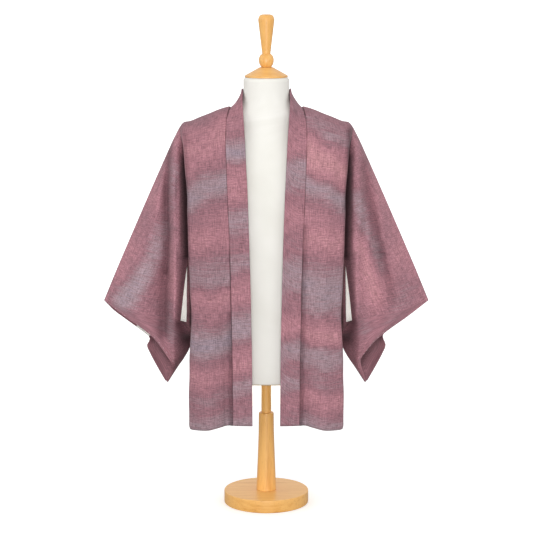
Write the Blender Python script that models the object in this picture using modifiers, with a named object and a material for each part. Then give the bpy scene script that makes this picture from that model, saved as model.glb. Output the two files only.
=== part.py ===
"""A haori jacket worn on a limbless table-top dress form.

Metres, +Z up, front facing -Y, the wearer's right on -X. The origin is the middle of the
underside of the round base. The jacket is one straight body panel each side that runs
over the shoulder, a collar band, two side gussets, two folded square sleeves and the pale
lining where it shows. Each piece of cloth is an open surface worked out from the tables
of sections below and given its wall by Solidify.
"""

import math

import bmesh
import bpy
import numpy as np

# ---- driving sizes -------------------------------------------------------------------

WALL = 0.0016  # cloth with its own turned-in edges
COLLAR_WALL = 0.0026  # the band is the cloth folded double
LINING_WALL = 0.0010
SEAM_GAP = 0.0003
ARMHOLE_GAP = 0.0022  # the two walls meet here at the bottom of a deep fold
CENTRE_GAP = 0.0004  # half the gap at the centre seam of the back
LINING_GAP = 0.0014  # between a wall and the lining that lies in it

HEM_HEIGHT = 0.205
UNDERARM_HEIGHT = 0.600
GUSSET_DRAWN_IN = 0.003
LINING_ROWS = (1.0, 6.0)
LINING_STEPS = (0.01, 0.02)  # over which a layer's direction is measured
BACK_LINING_STATIONS = (4.0, 10.95)
LEAST_LINING_SHARE = 0.02  # the back's lining takes its middle line from here

NECK_RADIUS = 0.0525
BASE_RADIUS, BASE_TOP = 0.100, 0.030
STAND_GAP = 0.0003  # between one turned piece and the next

COLOURS = {
    "cloth": (0.37, 0.17, 0.22, 1.0),
    "lining": (0.80, 0.78, 0.74, 1.0),
    "canvas": (0.88, 0.86, 0.82, 1.0),
    "beech": (0.76, 0.40, 0.14, 1.0),
}
ROUGHNESS = {"cloth": 0.85, "lining": 0.7, "canvas": 0.8, "beech": 0.45}

# ---- sections of the body panels -----------------------------------------------------
# A row is one section across a panel, from its inner edge (the collar seam in front, the
# centre seam behind) past the middle and the turn at the side to its outer edge (the
# armhole seam, and below that the gusset seam). x is measured outwards from the middle.

Z_EDGE = 2  # the column of the edge's height

FRONT_SECTIONS = (
    # z_in  z_corner z_edge  x_in    y_in    y_near  y_mid  x_corner y_corner x_edge y_edge
    (0.2140, 0.2020, 0.2010, 0.0770, -0.114, -0.110, -0.132, 0.1785, -0.092, 0.1700, -0.045),
    (0.2900, 0.2850, 0.2850, 0.0775, -0.113, -0.110, -0.128, 0.1785, -0.090, 0.1680, -0.041),
    (0.3900, 0.3880, 0.3880, 0.0785, -0.112, -0.110, -0.124, 0.1760, -0.086, 0.1640, -0.036),
    (0.4700, 0.4700, 0.4700, 0.0800, -0.111, -0.111, -0.121, 0.1722, -0.083, 0.1620, -0.032),
    (0.5400, 0.5400, 0.5400, 0.0810, -0.110, -0.111, -0.119, 0.1745, -0.083, 0.1650, -0.028),
    (0.6000, 0.6000, 0.6000, 0.0825, -0.109, -0.110, -0.117, 0.1785, -0.084, 0.1720, -0.024),
    (0.6800, 0.6800, 0.6800, 0.0855, -0.106, -0.107, -0.113, 0.1800, -0.084, 0.1765, -0.022),
    (0.7500, 0.7450, 0.7450, 0.0885, -0.101, -0.102, -0.106, 0.1810, -0.082, 0.1795, -0.022),
    (0.8100, 0.8000, 0.8000, 0.0908, -0.094, -0.095, -0.098, 0.1845, -0.076, 0.1835, -0.026),
    (0.8650, 0.8480, 0.8450, 0.0925, -0.080, -0.081, -0.082, 0.1885, -0.064, 0.1895, -0.030),
    (0.9060, 0.8830, 0.8740, 0.0918, -0.057, -0.057, -0.057, 0.1915, -0.045, 0.1960, -0.026),
    (0.9325, 0.8995, 0.8880, 0.0885, -0.029, -0.029, -0.029, 0.1905, -0.023, 0.1995, -0.015),
    (0.9430, 0.9060, 0.8930, 0.0845, 0.000, 0.000, 0.000, 0.1905, 0.000, 0.2012, 0.000),
)
BACK_SECTIONS = (
    # z_in  z_corner z_edge  x_in   y_in   y_near y_mid x_corner y_corner x_edge y_edge
    (0.9430, 0.9060, 0.8930, 0.0845, 0.000, 0.000, 0.000, 0.1905, 0.000, 0.2012, 0.000),
    (0.9375, 0.9000, 0.8880, 0.0760, 0.032, 0.032, 0.030, 0.1900, 0.023, 0.1990, 0.015),
    (0.9300, 0.8850, 0.8740, 0.0440, 0.060, 0.060, 0.056, 0.1890, 0.044, 0.1945, 0.026),
    (0.9230, 0.8550, 0.8450, 0.0002, 0.072, 0.072, 0.077, 0.1855, 0.062, 0.1885, 0.030),
    (0.8700, 0.8050, 0.8000, 0.0002, 0.090, 0.090, 0.094, 0.1820, 0.074, 0.1830, 0.030),
    (0.7700, 0.7450, 0.7450, 0.0002, 0.102, 0.102, 0.107, 0.1800, 0.082, 0.1780, 0.030),
    (0.6800, 0.6800, 0.6800, 0.0002, 0.108, 0.108, 0.113, 0.1785, 0.085, 0.1740, 0.031),
    (0.6000, 0.6000, 0.6000, 0.0002, 0.110, 0.110, 0.117, 0.1770, 0.087, 0.1700, 0.033),
    (0.5000, 0.5000, 0.5000, 0.0002, 0.112, 0.112, 0.120, 0.1730, 0.088, 0.1625, 0.036),
    (0.4000, 0.4000, 0.4000, 0.0002, 0.113, 0.113, 0.122, 0.1735, 0.089, 0.1625, 0.038),
    (0.3000, 0.3000, 0.3000, 0.0002, 0.114, 0.114, 0.125, 0.1765, 0.092, 0.1660, 0.042),
    (HEM_HEIGHT, HEM_HEIGHT, HEM_HEIGHT, 0.0002, 0.115, 0.115, 0.127, 0.1780, 0.094, 0.1690, 0.045),
)
NECK_CORNER = 3  # the back section where the neckline meets the centre seam
STATION_STEP = 0.5  # between the rows of the panels' and the collar's meshes
SHARES = (0.0, 0.10, 0.46, 0.78, 0.91, 1.0)  # where the control points lie across a panel

# ---- the collar band -----------------------------------------------------------------
# A row is one section, from the centre of the back round the neck and down the front. The
# seam side follows the body panels, so only the free edge is given here.

COLLAR_SECTIONS = (
    # station x_free y_free z_free
    (-3.0, 0.0000, 0.0640, 0.970),
    (-2.0, 0.0390, 0.0490, 0.974),
    (-1.0, 0.0550, 0.0240, 0.981),
    (0.0, 0.0568, -0.0020, 0.984),
    (1.0, 0.0562, -0.0320, 0.968),
    (2.0, 0.0525, -0.0600, 0.925),
    (3.0, 0.0485, -0.0830, 0.872),
    (4.0, 0.0455, -0.0970, 0.812),
    (5.0, 0.0425, -0.1045, 0.751),
    (6.0, 0.0400, -0.1090, 0.680),
    (7.0, 0.0375, -0.1120, 0.600),
    (8.0, 0.0360, -0.1130, 0.540),
    (9.0, 0.0345, -0.1140, 0.470),
    (10.0, 0.0330, -0.1150, 0.391),
    (11.0, 0.0322, -0.1160, 0.292),
    (12.0, 0.0318, -0.1165, 0.2135),
)

# ---- the sleeves ---------------------------------------------------------------------
# A row runs across one layer from its outer edge (the top fold, and past the cuff corner
# the cuff edge) to its inner edge (the armhole seam, the open edge below it, and past the
# inner corner the closed bottom edge). The columns after the two ends give the depth of
# the first swell, the furrow and the ridge, and where the furrow and the ridge lie.

CUFF_ROW, UNDERARM_ROW, CORNER_ROW, LAST_ROW = 5, 3, 7, 11
ENDS_OUT, ENDS_IN, FOLDS = slice(0, 3), slice(3, 6), slice(6, 11)

SLEEVE_FRONT = (
    # x_out y_out  z_out   x_in    y_in    z_in    x_furrow x_ridge y_swell y_furrow y_ridge
    (0.2030, 0.000, 0.8925, 0.1985, -0.022, 0.8800, 0.2020, 0.2000, -0.006, -0.012, -0.020),
    (0.2407, 0.000, 0.8096, 0.1850, -0.026, 0.8000, 0.2250, 0.2070, -0.030, -0.042, -0.058),
    (0.2804, 0.000, 0.7204, 0.1780, -0.022, 0.7000, 0.2300, 0.2080, -0.043, -0.042, -0.064),
    (0.3201, 0.000, 0.6300, 0.1800, -0.030, 0.6000, 0.2300, 0.2070, -0.053, -0.044, -0.068),
    (0.3505, 0.000, 0.5600, 0.1905, -0.045, 0.5240, 0.2340, 0.2080, -0.057, -0.046, -0.070),
    (0.3805, 0.000, 0.4880, 0.1985, -0.058, 0.4510, 0.2370, 0.2120, -0.059, -0.046, -0.068),
    (0.3271, -0.040, 0.4560, 0.1765, -0.030, 0.4180, 0.2375, 0.2120, -0.060, -0.048, -0.066),
    (0.2799, -0.050, 0.4240, 0.1740, 0.008, 0.4000, 0.2370, 0.2130, -0.058, -0.049, -0.062),
    (0.2546, -0.050, 0.3985, 0.1810, 0.008, 0.3718, 0.2340, 0.2130, -0.053, -0.048, -0.057),
    (0.2290, -0.046, 0.3600, 0.1939, 0.006, 0.3483, 0.2215, 0.2120, -0.046, -0.045, -0.046),
    (0.2175, -0.034, 0.3390, 0.2068, 0.004, 0.3290, 0.2155, 0.2125, -0.033, -0.030, -0.024),
    (0.2290, -0.008, 0.2990, 0.2255, 0.000, 0.2972, 0.2280, 0.2270, -0.008, -0.007, -0.005),
)
SLEEVE_BACK = (
    # x_out y_out  z_out   x_in   y_in   z_in    x_furrow x_ridge y_swell y_furrow y_ridge
    (0.2030, 0.000, 0.8925, 0.1985, 0.022, 0.8800, 0.2020, 0.2000, 0.006, 0.012, 0.020),
    (0.2407, 0.000, 0.8096, 0.1835, 0.030, 0.8000, 0.2240, 0.2070, 0.030, 0.042, 0.059),
    (0.2804, 0.000, 0.7204, 0.1755, 0.030, 0.7000, 0.2320, 0.2080, 0.043, 0.044, 0.066),
    (0.3201, 0.000, 0.6300, 0.1716, 0.033, 0.6000, 0.2380, 0.2070, 0.050, 0.045, 0.067),
    (0.3505, 0.000, 0.5600, 0.1735, 0.043, 0.5200, 0.2450, 0.2090, 0.050, 0.038, 0.060),
    (0.3805, 0.000, 0.4880, 0.1740, 0.046, 0.4500, 0.2500, 0.2120, 0.053, 0.042, 0.060),
    (0.3340, 0.034, 0.4475, 0.1740, 0.036, 0.4200, 0.2500, 0.2140, 0.055, 0.044, 0.059),
    (0.2800, 0.046, 0.4010, 0.1740, 0.008, 0.4000, 0.2480, 0.2150, 0.055, 0.045, 0.056),
    (0.2840, 0.048, 0.3710, 0.1810, 0.008, 0.3718, 0.2450, 0.2150, 0.052, 0.044, 0.049),
    (0.2765, 0.042, 0.3520, 0.1939, 0.006, 0.3483, 0.2400, 0.2160, 0.044, 0.040, 0.038),
    (0.2580, 0.026, 0.3270, 0.2068, 0.004, 0.3290, 0.2350, 0.2200, 0.028, 0.025, 0.018),
    (0.2330, 0.008, 0.2985, 0.2255, 0.000, 0.2972, 0.2300, 0.2275, 0.008, 0.006, 0.003),
)

SLEEVE_MESH_ROWS = np.linspace(0, LAST_ROW, 2 * LAST_ROW + 1)
FURROW_COLUMN, RIDGE_COLUMN = 0.50, 0.74
SLEEVE_MESH_COLUMNS = (0.0, 0.05, 0.13, 0.24, 0.37, 0.50, 0.58, 0.66, 0.74, 0.83, 0.92, 1.0)

# ---- the dress form ------------------------------------------------------------------
# Height, half width, half depth at the sides and in the middle, and how square the section
# is (2 is an ellipse).

TORSO_SECTIONS = (
    (0.302, 0.134, 0.084, 0.084, 2.3),
    (0.306, 0.139, 0.088, 0.088, 2.3),
    (0.330, 0.141, 0.090, 0.090, 2.3),
    (0.450, 0.138, 0.090, 0.090, 2.3),
    (0.600, 0.142, 0.092, 0.092, 2.3),
    (0.720, 0.155, 0.092, 0.092, 2.3),
    (0.800, 0.168, 0.085, 0.088, 2.3),
    (0.845, 0.174, 0.070, 0.081, 2.3),
    (0.870, 0.175, 0.056, 0.075, 2.2),
    (0.888, 0.168, 0.045, 0.070, 2.2),
    (0.902, 0.150, 0.039, 0.066, 2.2),
    (0.914, 0.122, 0.038, 0.063, 2.2),
    (0.925, 0.094, 0.043, 0.060, 2.1),
    (0.938, 0.069, 0.049, 0.0575, 2.0),
    (0.955, 0.0560, 0.0530, 0.0550, 2.0),
    (0.978, 0.0530, 0.0525, 0.0530, 2.0),
    (1.0098, NECK_RADIUS, NECK_RADIUS, NECK_RADIUS, 2.0),
)
THROAT_WIDTH = 0.055  # how far from the middle the greater depth reaches
TORSO_SIDES = 40

# Radius and height, from the middle of the top down the outer side.

BASE_PROFILE = (
    (0.0, BASE_TOP), (0.0975, BASE_TOP), (0.0993, 0.0292), (BASE_RADIUS, 0.0274),
    (BASE_RADIUS, 0.0026), (0.0993, 0.0008), (0.0975, 0.0), (0.0, 0.0),
)  # fmt: skip
POST_PROFILE = (
    (0.0, 0.2185), (0.0155, 0.2185), (0.0172, 0.2172), (0.0178, 0.2140),
    (0.0182, 0.1700), (0.0206, 0.1000), (0.0234, BASE_TOP + STAND_GAP),
    (0.0, BASE_TOP + STAND_GAP),
)  # fmt: skip
POLE_RADIUS, POLE_FOOT, POLE_TOP = 0.0117, 0.2188, 0.3017
POLE_PROFILE = (
    (0.0, POLE_TOP), (POLE_RADIUS, POLE_TOP), (POLE_RADIUS, POLE_FOOT), (0.0, POLE_FOOT),
)  # fmt: skip
CAP_PROFILE = (
    (0.0, 1.0325), (0.0145, 1.0325), (0.0162, 1.0315), (0.0485, 1.0138),
    (0.0495, 1.0126), (0.0495, 1.0108), (0.0488, 1.0101), (0.0, 1.0101),
)  # fmt: skip
FINIAL_PROFILE = (
    (0.0, 1.1530), (0.0090, 1.1526), (0.0145, 1.1505), (0.0174, 1.1460), (0.0184, 1.1400),
    (0.0180, 1.1345), (0.0097, 1.0645), (0.0102, 1.0628), (0.0140, 1.0596), (0.0166, 1.0540),
    (0.0172, 1.0475), (0.0160, 1.0405), (0.0130, 1.0352), (0.0105, 1.0328), (0.0, 1.0328),
)  # fmt: skip
TURNED_STEPS = 40


# ---- small tools ---------------------------------------------------------------------


def clear_scene():
    for thing in list(bpy.data.objects):
        bpy.data.objects.remove(thing)


def material(kind):
    made = bpy.data.materials.get(kind) or bpy.data.materials.new(kind)
    made.use_nodes = True
    shader = made.node_tree.nodes["Principled BSDF"]
    shader.inputs["Base Color"].default_value = COLOURS[kind]
    shader.inputs["Roughness"].default_value = ROUGHNESS[kind]
    return made


def through(rows, at):
    """The smooth curve through the rows, read at a row number that may be a fraction."""
    rows = np.asarray(rows, float)
    at = min(max(at, 0.0), len(rows) - 1.0)
    i = min(int(at), len(rows) - 2)
    t = at - i
    before, here = rows[max(i - 1, 0)], rows[i]
    there, after = rows[i + 1], rows[min(i + 2, len(rows) - 1)]
    slope_here = (there - before) / (2 if i > 0 else 1)
    slope_there = (after - here) / (2 if i + 2 < len(rows) else 1)
    return (
        here * (1 + 2 * t) * (1 - t) ** 2
        + slope_here * t * (1 - t) ** 2
        + there * t * t * (3 - 2 * t)
        + slope_there * t * t * (t - 1)
    )


def through_pieces(rows, at, breaks):
    """The curve through the rows, with a corner at each row named in breaks."""
    stops = [0, *breaks, len(rows) - 1]
    for first, last in zip(stops, stops[1:]):
        if at <= last:
            return through(rows[first : last + 1], at - first)
    return through(rows[stops[-2] :], at - stops[-2])


def through_places(places, rows, at):
    """The same curve, for rows that stand at uneven places."""
    number = np.interp(at, places, range(len(places)))
    return through(rows, float(number))


def add_object(name, mesh, kind):
    made = bpy.data.objects.new(name, mesh)
    mesh.materials.append(material(kind))
    PARTS.objects.link(made)
    return made


def sheet_mesh(place, across, along):
    """A grid of across by along places, each moved to place(across, along)."""
    grid = bmesh.new()
    bmesh.ops.create_grid(
        grid, x_segments=len(across) - 1, y_segments=len(along) - 1, size=1.0
    )
    grid.verts.ensure_lookup_table()
    for vert in grid.verts:
        i = round((vert.co.x + 1) / 2 * (len(across) - 1))
        j = round((vert.co.y + 1) / 2 * (len(along) - 1))
        vert.co = place(across[i], along[j])
    return grid


def finish_sheet(name, grid, kind, wall, mirrored=False):
    """Faces out, wall inwards. A mirrored sheet has its faces turned back."""
    if mirrored:
        bmesh.ops.reverse_faces(grid, faces=grid.faces)
    mesh = bpy.data.meshes.new(name)
    grid.to_mesh(mesh)
    grid.free()
    made = add_object(name, mesh, kind)
    mesh.shade_smooth()
    solid = made.modifiers.new("wall", "SOLIDIFY")
    solid.thickness = wall
    solid.offset = -1.0
    return made


def moved(place, distance, a, b, step):
    """The point of a surface moved along its normal, measured over short steps."""
    here = np.array(place(a, b))
    along_a = np.array(place(a + step[0], b)) - np.array(place(a - step[0], b))
    along_b = np.array(place(a, b + step[1])) - np.array(place(a, b - step[1]))
    normal = np.cross(along_a, along_b)
    return here + distance * normal / max(np.linalg.norm(normal), 1e-12)


# ---- body panels ---------------------------------------------------------------------


def panel_controls(row):
    """The six control points of one section, from the inner edge to the outer."""
    (z_in, z_corner, z_edge, x_in, y_in, y_near, y_mid, x_corner, y_corner, x_edge, y_edge) = row
    x_mid = x_in + 0.52 * (x_corner - x_in)
    x_out = x_corner - 0.017
    y_out = 0.55 * y_mid + 0.45 * y_corner
    z_at = lambda share: z_in + share * (z_corner - z_in)
    return np.array(
        (
            (x_in, y_in, z_in),
            (x_in + 0.016, y_near, z_at(0.12)),
            (x_mid, y_mid, z_at(0.52)),
            (x_out, y_out, z_at(0.88)),
            (x_corner, y_corner, z_corner),
            (x_edge, y_edge, z_edge),
        )
    )


def panel_point(sections, station, share):
    """A point of a body panel: the station counts sections, the share goes across."""
    breaks = (NECK_CORNER,) if sections is BACK_SECTIONS else ()
    row = through_pieces(sections, station, breaks)
    point = through_places(SHARES, panel_controls(row), share)
    point[0] = max(point[0], CENTRE_GAP)
    return point


def whole_panel_point(station, share):
    """Front and back panel as the one strip of cloth that they are, front hem first."""
    front_last = len(FRONT_SECTIONS) - 1
    if station <= front_last:
        return panel_point(FRONT_SECTIONS, station, share)
    return panel_point(BACK_SECTIONS, station - front_last, share)


def make_body_panel(side, name):
    shares = (0.0, 0.06, 0.14, 0.28, 0.42, 0.56, 0.68, 0.78, 0.85, 0.91, 0.96, 1.0)
    last = len(FRONT_SECTIONS) + len(BACK_SECTIONS) - 2
    stations = np.linspace(0, last, round(last / STATION_STEP) + 1)

    def place(share, station):
        x, y, z = whole_panel_point(station, share)
        return (side * x, y, z)

    grid = sheet_mesh(place, shares, stations)
    return finish_sheet(name, grid, "cloth", WALL, mirrored=side > 0)


# ---- collar --------------------------------------------------------------------------


def collar_seam_point(station):
    """The inner edge of the body panels: station 0 is the shoulder, below 0 the back."""
    if station < 0:
        return panel_point(BACK_SECTIONS, -station, 0.0)
    return panel_point(FRONT_SECTIONS, len(FRONT_SECTIONS) - 1 - station, 0.0)


def collar_point(station, share):
    """Share 0 is the free edge and share 1 the seam."""
    side = -1.0 if station < 0 else 1.0
    number = abs(station) - 3.0  # the band is counted out from the centre of the back
    free = through([row[1:] for row in COLLAR_SECTIONS], number + 3.0)
    seam = collar_seam_point(number)
    pull = seam - free
    seam = seam - pull / np.linalg.norm(pull) * SEAM_GAP
    if abs(station) < 1e-9:
        seam[0] = 0.0
    x, y, z = free + share * (seam - free)
    return np.array((side * x, y, z))


def make_collar():
    last = len(COLLAR_SECTIONS) - 1
    half = np.linspace(0, last, round(last / STATION_STEP) + 1)
    stations = np.concatenate((-half[:0:-1], half))
    shares = (0.0, 0.35, 0.7, 1.0)
    grid = sheet_mesh(lambda share, station: collar_point(station, share), shares, stations)
    return finish_sheet("collar", grid, "cloth", COLLAR_WALL, mirrored=True)


# ---- side gussets --------------------------------------------------------------------


def edge_at(sections, height):
    """The point of a panel's outer edge at a height."""
    first, last = 0.0, len(sections) - 1.0
    rising = sections[0][Z_EDGE] < sections[-1][Z_EDGE]
    for _ in range(40):
        middle = (first + last) / 2
        if (panel_point(sections, middle, 1.0)[2] < height) == rising:
            first = middle
        else:
            last = middle
    return panel_point(sections, middle, 1.0)


def make_gusset(side, name):
    """The strip between the two panels below the underarm, a little drawn in."""
    heights = np.linspace(HEM_HEIGHT, UNDERARM_HEIGHT - 0.002, 13)
    shares = np.linspace(0, 1, 6)

    def place(share, height):
        front = edge_at(FRONT_SECTIONS, height)
        back = edge_at(BACK_SECTIONS, height)
        front[1] += 2 * SEAM_GAP
        back[1] -= 2 * SEAM_GAP
        x, y, _ = front + share * (back - front)
        drawn_in = GUSSET_DRAWN_IN * math.sin(math.pi * share)
        return (side * (x - drawn_in), y, height)

    grid = sheet_mesh(place, shares, heights)
    return finish_sheet(name, grid, "cloth", WALL, mirrored=side < 0)


# ---- sleeves -------------------------------------------------------------------------


def sleeve_outer_end(table, row):
    """The top fold, which both layers share, and past the cuff corner a cuff edge."""
    table = SLEEVE_FRONT if row <= CUFF_ROW else table
    return through_pieces([line[ENDS_OUT] for line in table], row, (CUFF_ROW,))


def sleeve_inner_end(table, row):
    """The armhole seam, then the open edge, then the closed bottom edge of both layers."""
    table = SLEEVE_FRONT if row >= CORNER_ROW else table
    inner = [line[ENDS_IN] for line in table]
    point = through_pieces(inner, row, (UNDERARM_ROW, CUFF_ROW, CORNER_ROW))
    if row < UNDERARM_ROW:
        sections = FRONT_SECTIONS if table is SLEEVE_FRONT else BACK_SECTIONS
        point = edge_at(sections, point[2])
        point[0] += ARMHOLE_GAP
    return point


def sleeve_point(table, row, column):
    """A point of one layer: column 0 is its outer end, column 1 its inner end.

    The furrow and the ridge keep their own columns, so the mesh runs along the folds.
    """
    outer, inner = sleeve_outer_end(table, row), sleeve_inner_end(table, row)
    x_furrow, x_ridge, swell, furrow, ridge = through([line[FOLDS] for line in table], row)
    furrow_at, ridge_at = ((outer[0] - x) / (outer[0] - inner[0]) for x in (x_furrow, x_ridge))
    columns = (0.0, FURROW_COLUMN, RIDGE_COLUMN, 1.0)
    share = np.interp(column, columns, (0.0, furrow_at, ridge_at, 1.0))
    places = (0.0, furrow_at / 2, furrow_at, ridge_at, 1.0)
    depths = [[outer[1]], [swell], [furrow], [ridge], [inner[1]]]
    point = outer + share * (inner - outer)
    point[1] = through_places(places, depths, share)[0]
    return point


def make_sleeve(side, name):
    whole = bmesh.new()
    for table in (SLEEVE_FRONT, SLEEVE_BACK):
        front = table is SLEEVE_FRONT

        def place(column, row):
            x, y, z = sleeve_point(table, row, column)
            return (side * x, y, z)

        layer = sheet_mesh(place, SLEEVE_MESH_COLUMNS, SLEEVE_MESH_ROWS)
        if front == (side < 0):
            bmesh.ops.reverse_faces(layer, faces=layer.faces)
        part = bpy.data.meshes.new("layer")
        layer.to_mesh(part)
        layer.free()
        whole.from_mesh(part)
        bpy.data.meshes.remove(part)
    bmesh.ops.remove_doubles(whole, verts=whole.verts, dist=0.00001)
    return finish_sheet(name, whole, "cloth", WALL)


def make_sleeve_lining(side, table, name):
    """The pale lining inside one layer, made from the layer's own points moved inwards."""
    rows = [row for row in SLEEVE_MESH_ROWS if LINING_ROWS[0] <= row <= LINING_ROWS[1]]
    columns = SLEEVE_MESH_COLUMNS[1:-1]
    front = table is SLEEVE_FRONT
    depth = (WALL + LINING_GAP) * (-1 if front else 1)

    def place(column, row):
        here = lambda a, b: sleeve_point(table, b, a)
        x, y, z = moved(here, depth, column, row, LINING_STEPS)
        return (side * x, y, z)

    grid = sheet_mesh(place, columns, rows)
    return finish_sheet(name, grid, "lining", LINING_WALL, mirrored=front == (side < 0))


def make_back_lining():
    """The pale lining of the back, which shows between the fronts below the form."""
    stations = np.linspace(*BACK_LINING_STATIONS, 20)
    half = np.array((0.0, 0.2, 0.4, 0.6, 0.78, 0.88, 0.96))
    shares = np.concatenate((-half[:0:-1], half))

    def place(share, station):
        here = lambda a, b: panel_point(BACK_SECTIONS, b, a)
        across = max(abs(share), LEAST_LINING_SHARE)
        x, y, z = moved(here, -WALL - LINING_GAP, across, station, LINING_STEPS)
        if share == 0:
            x = 0.0
        return (math.copysign(x, share), y, z)

    grid = sheet_mesh(place, shares, stations)
    return finish_sheet("back_lining", grid, "lining", LINING_WALL, mirrored=True)


# ---- the stand and the form ----------------------------------------------------------


def turned(name, profile, kind):
    """A round piece from its profile, top to bottom down the outer side."""
    mesh = bpy.data.meshes.new(name)
    points = [(radius, 0.0, z) for radius, z in profile]
    mesh.from_pydata(points, [(i, i + 1) for i in range(len(points) - 1)], [])
    made = add_object(name, mesh, kind)
    screw = made.modifiers.new("turn", "SCREW")
    screw.steps = screw.render_steps = TURNED_STEPS
    screw.use_merge_vertices = True
    screw.merge_threshold = 0.0001
    screw.use_smooth_shade = True
    return made


def make_torso():
    """Rings of a rounded section, lofted from the bottom up and capped at both ends."""
    mesh = bpy.data.meshes.new("torso")
    body = bmesh.new()
    rings = []
    for z, half_width, half_depth, middle_depth, squareness in TORSO_SECTIONS:
        ring = []
        for k in range(TORSO_SIDES):
            angle = 2 * math.pi * k / TORSO_SIDES
            c, s = math.cos(angle), math.sin(angle)
            x = half_width * math.copysign(abs(c) ** (2 / squareness), c)
            throat = math.exp(-((x / THROAT_WIDTH) ** 2))
            depth = half_depth + throat * (middle_depth - half_depth)
            y = depth * math.copysign(abs(s) ** (2 / squareness), s)
            ring.append(body.verts.new((x, y, z)))
        rings.append(ring)
    for low, high in zip(rings, rings[1:]):
        for k in range(TORSO_SIDES):
            n = (k + 1) % TORSO_SIDES
            body.faces.new((low[k], low[n], high[n], high[k]))
    body.faces.new(rings[0][::-1])
    body.faces.new(rings[-1])
    body.to_mesh(mesh)
    body.free()
    made = add_object("torso", mesh, "canvas")
    mesh.shade_smooth()
    return made


def make_stand():
    turned("finial", FINIAL_PROFILE, "beech")
    turned("neck_cap", CAP_PROFILE, "beech")
    turned("pole", POLE_PROFILE, "beech")
    turned("post", POST_PROFILE, "beech")
    turned("base", BASE_PROFILE, "beech")


# ---- run -----------------------------------------------------------------------------

clear_scene()
PARTS = bpy.data.collections.new("haori on dress form")
bpy.context.scene.collection.children.link(PARTS)
make_stand()
make_torso()
for side, name in ((-1, "body_right"), (1, "body_left")):
    make_body_panel(side, name)
make_collar()
for side, hand in ((-1, "right"), (1, "left")):
    make_gusset(side, f"gusset_{hand}")
    make_sleeve(side, f"sleeve_{hand}")
    make_sleeve_lining(side, SLEEVE_FRONT, f"sleeve_lining_front_{hand}")
    make_sleeve_lining(side, SLEEVE_BACK, f"sleeve_lining_back_{hand}")
make_back_lining()
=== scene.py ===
"""The finished look of a haori jacket on a limbless table-top dress form.

The script works in metres in the frame's own axes: +Z up, front facing -Y, the wearer's right
on -X. The cloth follows the same sections as the solids it stands for, laid out on a finer
grid, with its edges rolled at the seams and small hollows and ridges pressed into it. The
tables of sections, bands and lines are written in millimetres.
"""

import functools
import math

import bmesh
import bpy
import numpy as np
from mathutils import Matrix, Vector


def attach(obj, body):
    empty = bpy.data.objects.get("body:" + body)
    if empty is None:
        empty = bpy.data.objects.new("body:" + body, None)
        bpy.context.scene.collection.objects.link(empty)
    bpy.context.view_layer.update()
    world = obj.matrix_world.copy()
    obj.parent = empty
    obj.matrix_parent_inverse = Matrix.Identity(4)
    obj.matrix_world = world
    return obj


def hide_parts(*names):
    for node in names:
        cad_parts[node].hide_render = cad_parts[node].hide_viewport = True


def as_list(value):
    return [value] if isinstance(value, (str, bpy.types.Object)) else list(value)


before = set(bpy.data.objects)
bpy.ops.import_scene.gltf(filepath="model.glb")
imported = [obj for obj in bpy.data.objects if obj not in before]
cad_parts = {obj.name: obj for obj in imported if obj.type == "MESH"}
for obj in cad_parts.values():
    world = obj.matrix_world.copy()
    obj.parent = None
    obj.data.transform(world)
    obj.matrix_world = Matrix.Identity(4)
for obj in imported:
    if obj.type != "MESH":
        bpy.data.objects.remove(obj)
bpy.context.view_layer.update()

# ---- sizes ---------------------------------------------------------------------------

MM = 1000.0  # millimetres in a metre
WALL = 0.0016  # cloth with its own turned-in edges
COLLAR_WALL = 0.0026  # the band is the cloth folded double
LINING_WALL, LINING_GAP, BACK_LINING_GAP = 0.0010, 0.0014, 0.0030
STRIP_WALL, CENTRE_STRIP_WALL, TAPE_WALL = 0.0010, 0.0006, 0.0006
SEAM_GAP, CENTRE_GAP, ARMHOLE_GAP = 0.0003, 0.0004, 0.0022
# Where the strips of seam allowance lie across their seams, and start above the underarm.
ARMHOLE_STRIP, STRIP_START = np.linspace(-0.003, ARMHOLE_GAP + 0.003, 5), 0.004
CENTRE_STRIP, CENTRE_ENDS, CENTRE_ROWS = np.linspace(-0.0014, 0.0014, 3), 0.02, 120
ARMHOLE_GAPS = (0.850, 0.876), (ARMHOLE_GAP, 0.0)  # it closes over the shoulder, by height
HEM_HEIGHT, UNDERARM_HEIGHT, ARMHOLE_TOP = 0.205, 0.600, 0.872
GUSSET_DRAWN_IN = 0.003
LINING_ROWS = {"front": (1.0, 6.0), "back": (1.0, 5.93)}
LINING_COLUMNS = {"front": (0.085, 0.975), "back": (0.085, 0.930)}
BACK_LINING_STATIONS = np.linspace(4.0, 10.998, 120)
BACK_LINING_SHARES = (0.002, *np.linspace(0.0, 0.9, 30)[1:], 0.93, 0.96)
# The lining's lower edge inside the right cuff, as the row and how far in it reaches there.
CUFF_LINING_EDGE = ((5.4, 0.75), (6.2, 0.75), (7.0, 0.22))
CUFF_LINING_BARE, CUFF_BARE_ROW = 0.085, 6.4
CUFF_COLUMN_PACE = 3  # the rows that are as long as the columns are wide in all
# How far each cuff's edge hangs above or below its even line, by row, on one layer only.
CUFF_HANGS = {
    ("right", "back"): ((5.0, 0.0), (5.5, -0.0095), (6.6, -0.0110), (7.0, -0.0080), (8.2, 0.0)),
    ("left", "front"): ((7.4, 0.0), (8.3, 0.006), (9.2, 0.016), (10.2, 0.010), (11.0, 0.0)),
}
FOLD_EASE = 2  # how often the folds are evened out across a sleeve
SHOULDER_REACH = 0.030  # how far down the sleeve its join to the shoulder is felt
SHOULDER_STATIONS = np.linspace(0, 2, 17)  # from the crest, where the sleeve is joined on
STITCH_ROWS, STITCH_EVERY = (5.3, 9.3), 2
STITCH_IN, STITCH_SIZE = 0.008, (0.0042, 0.0009, 0.0008)

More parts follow.
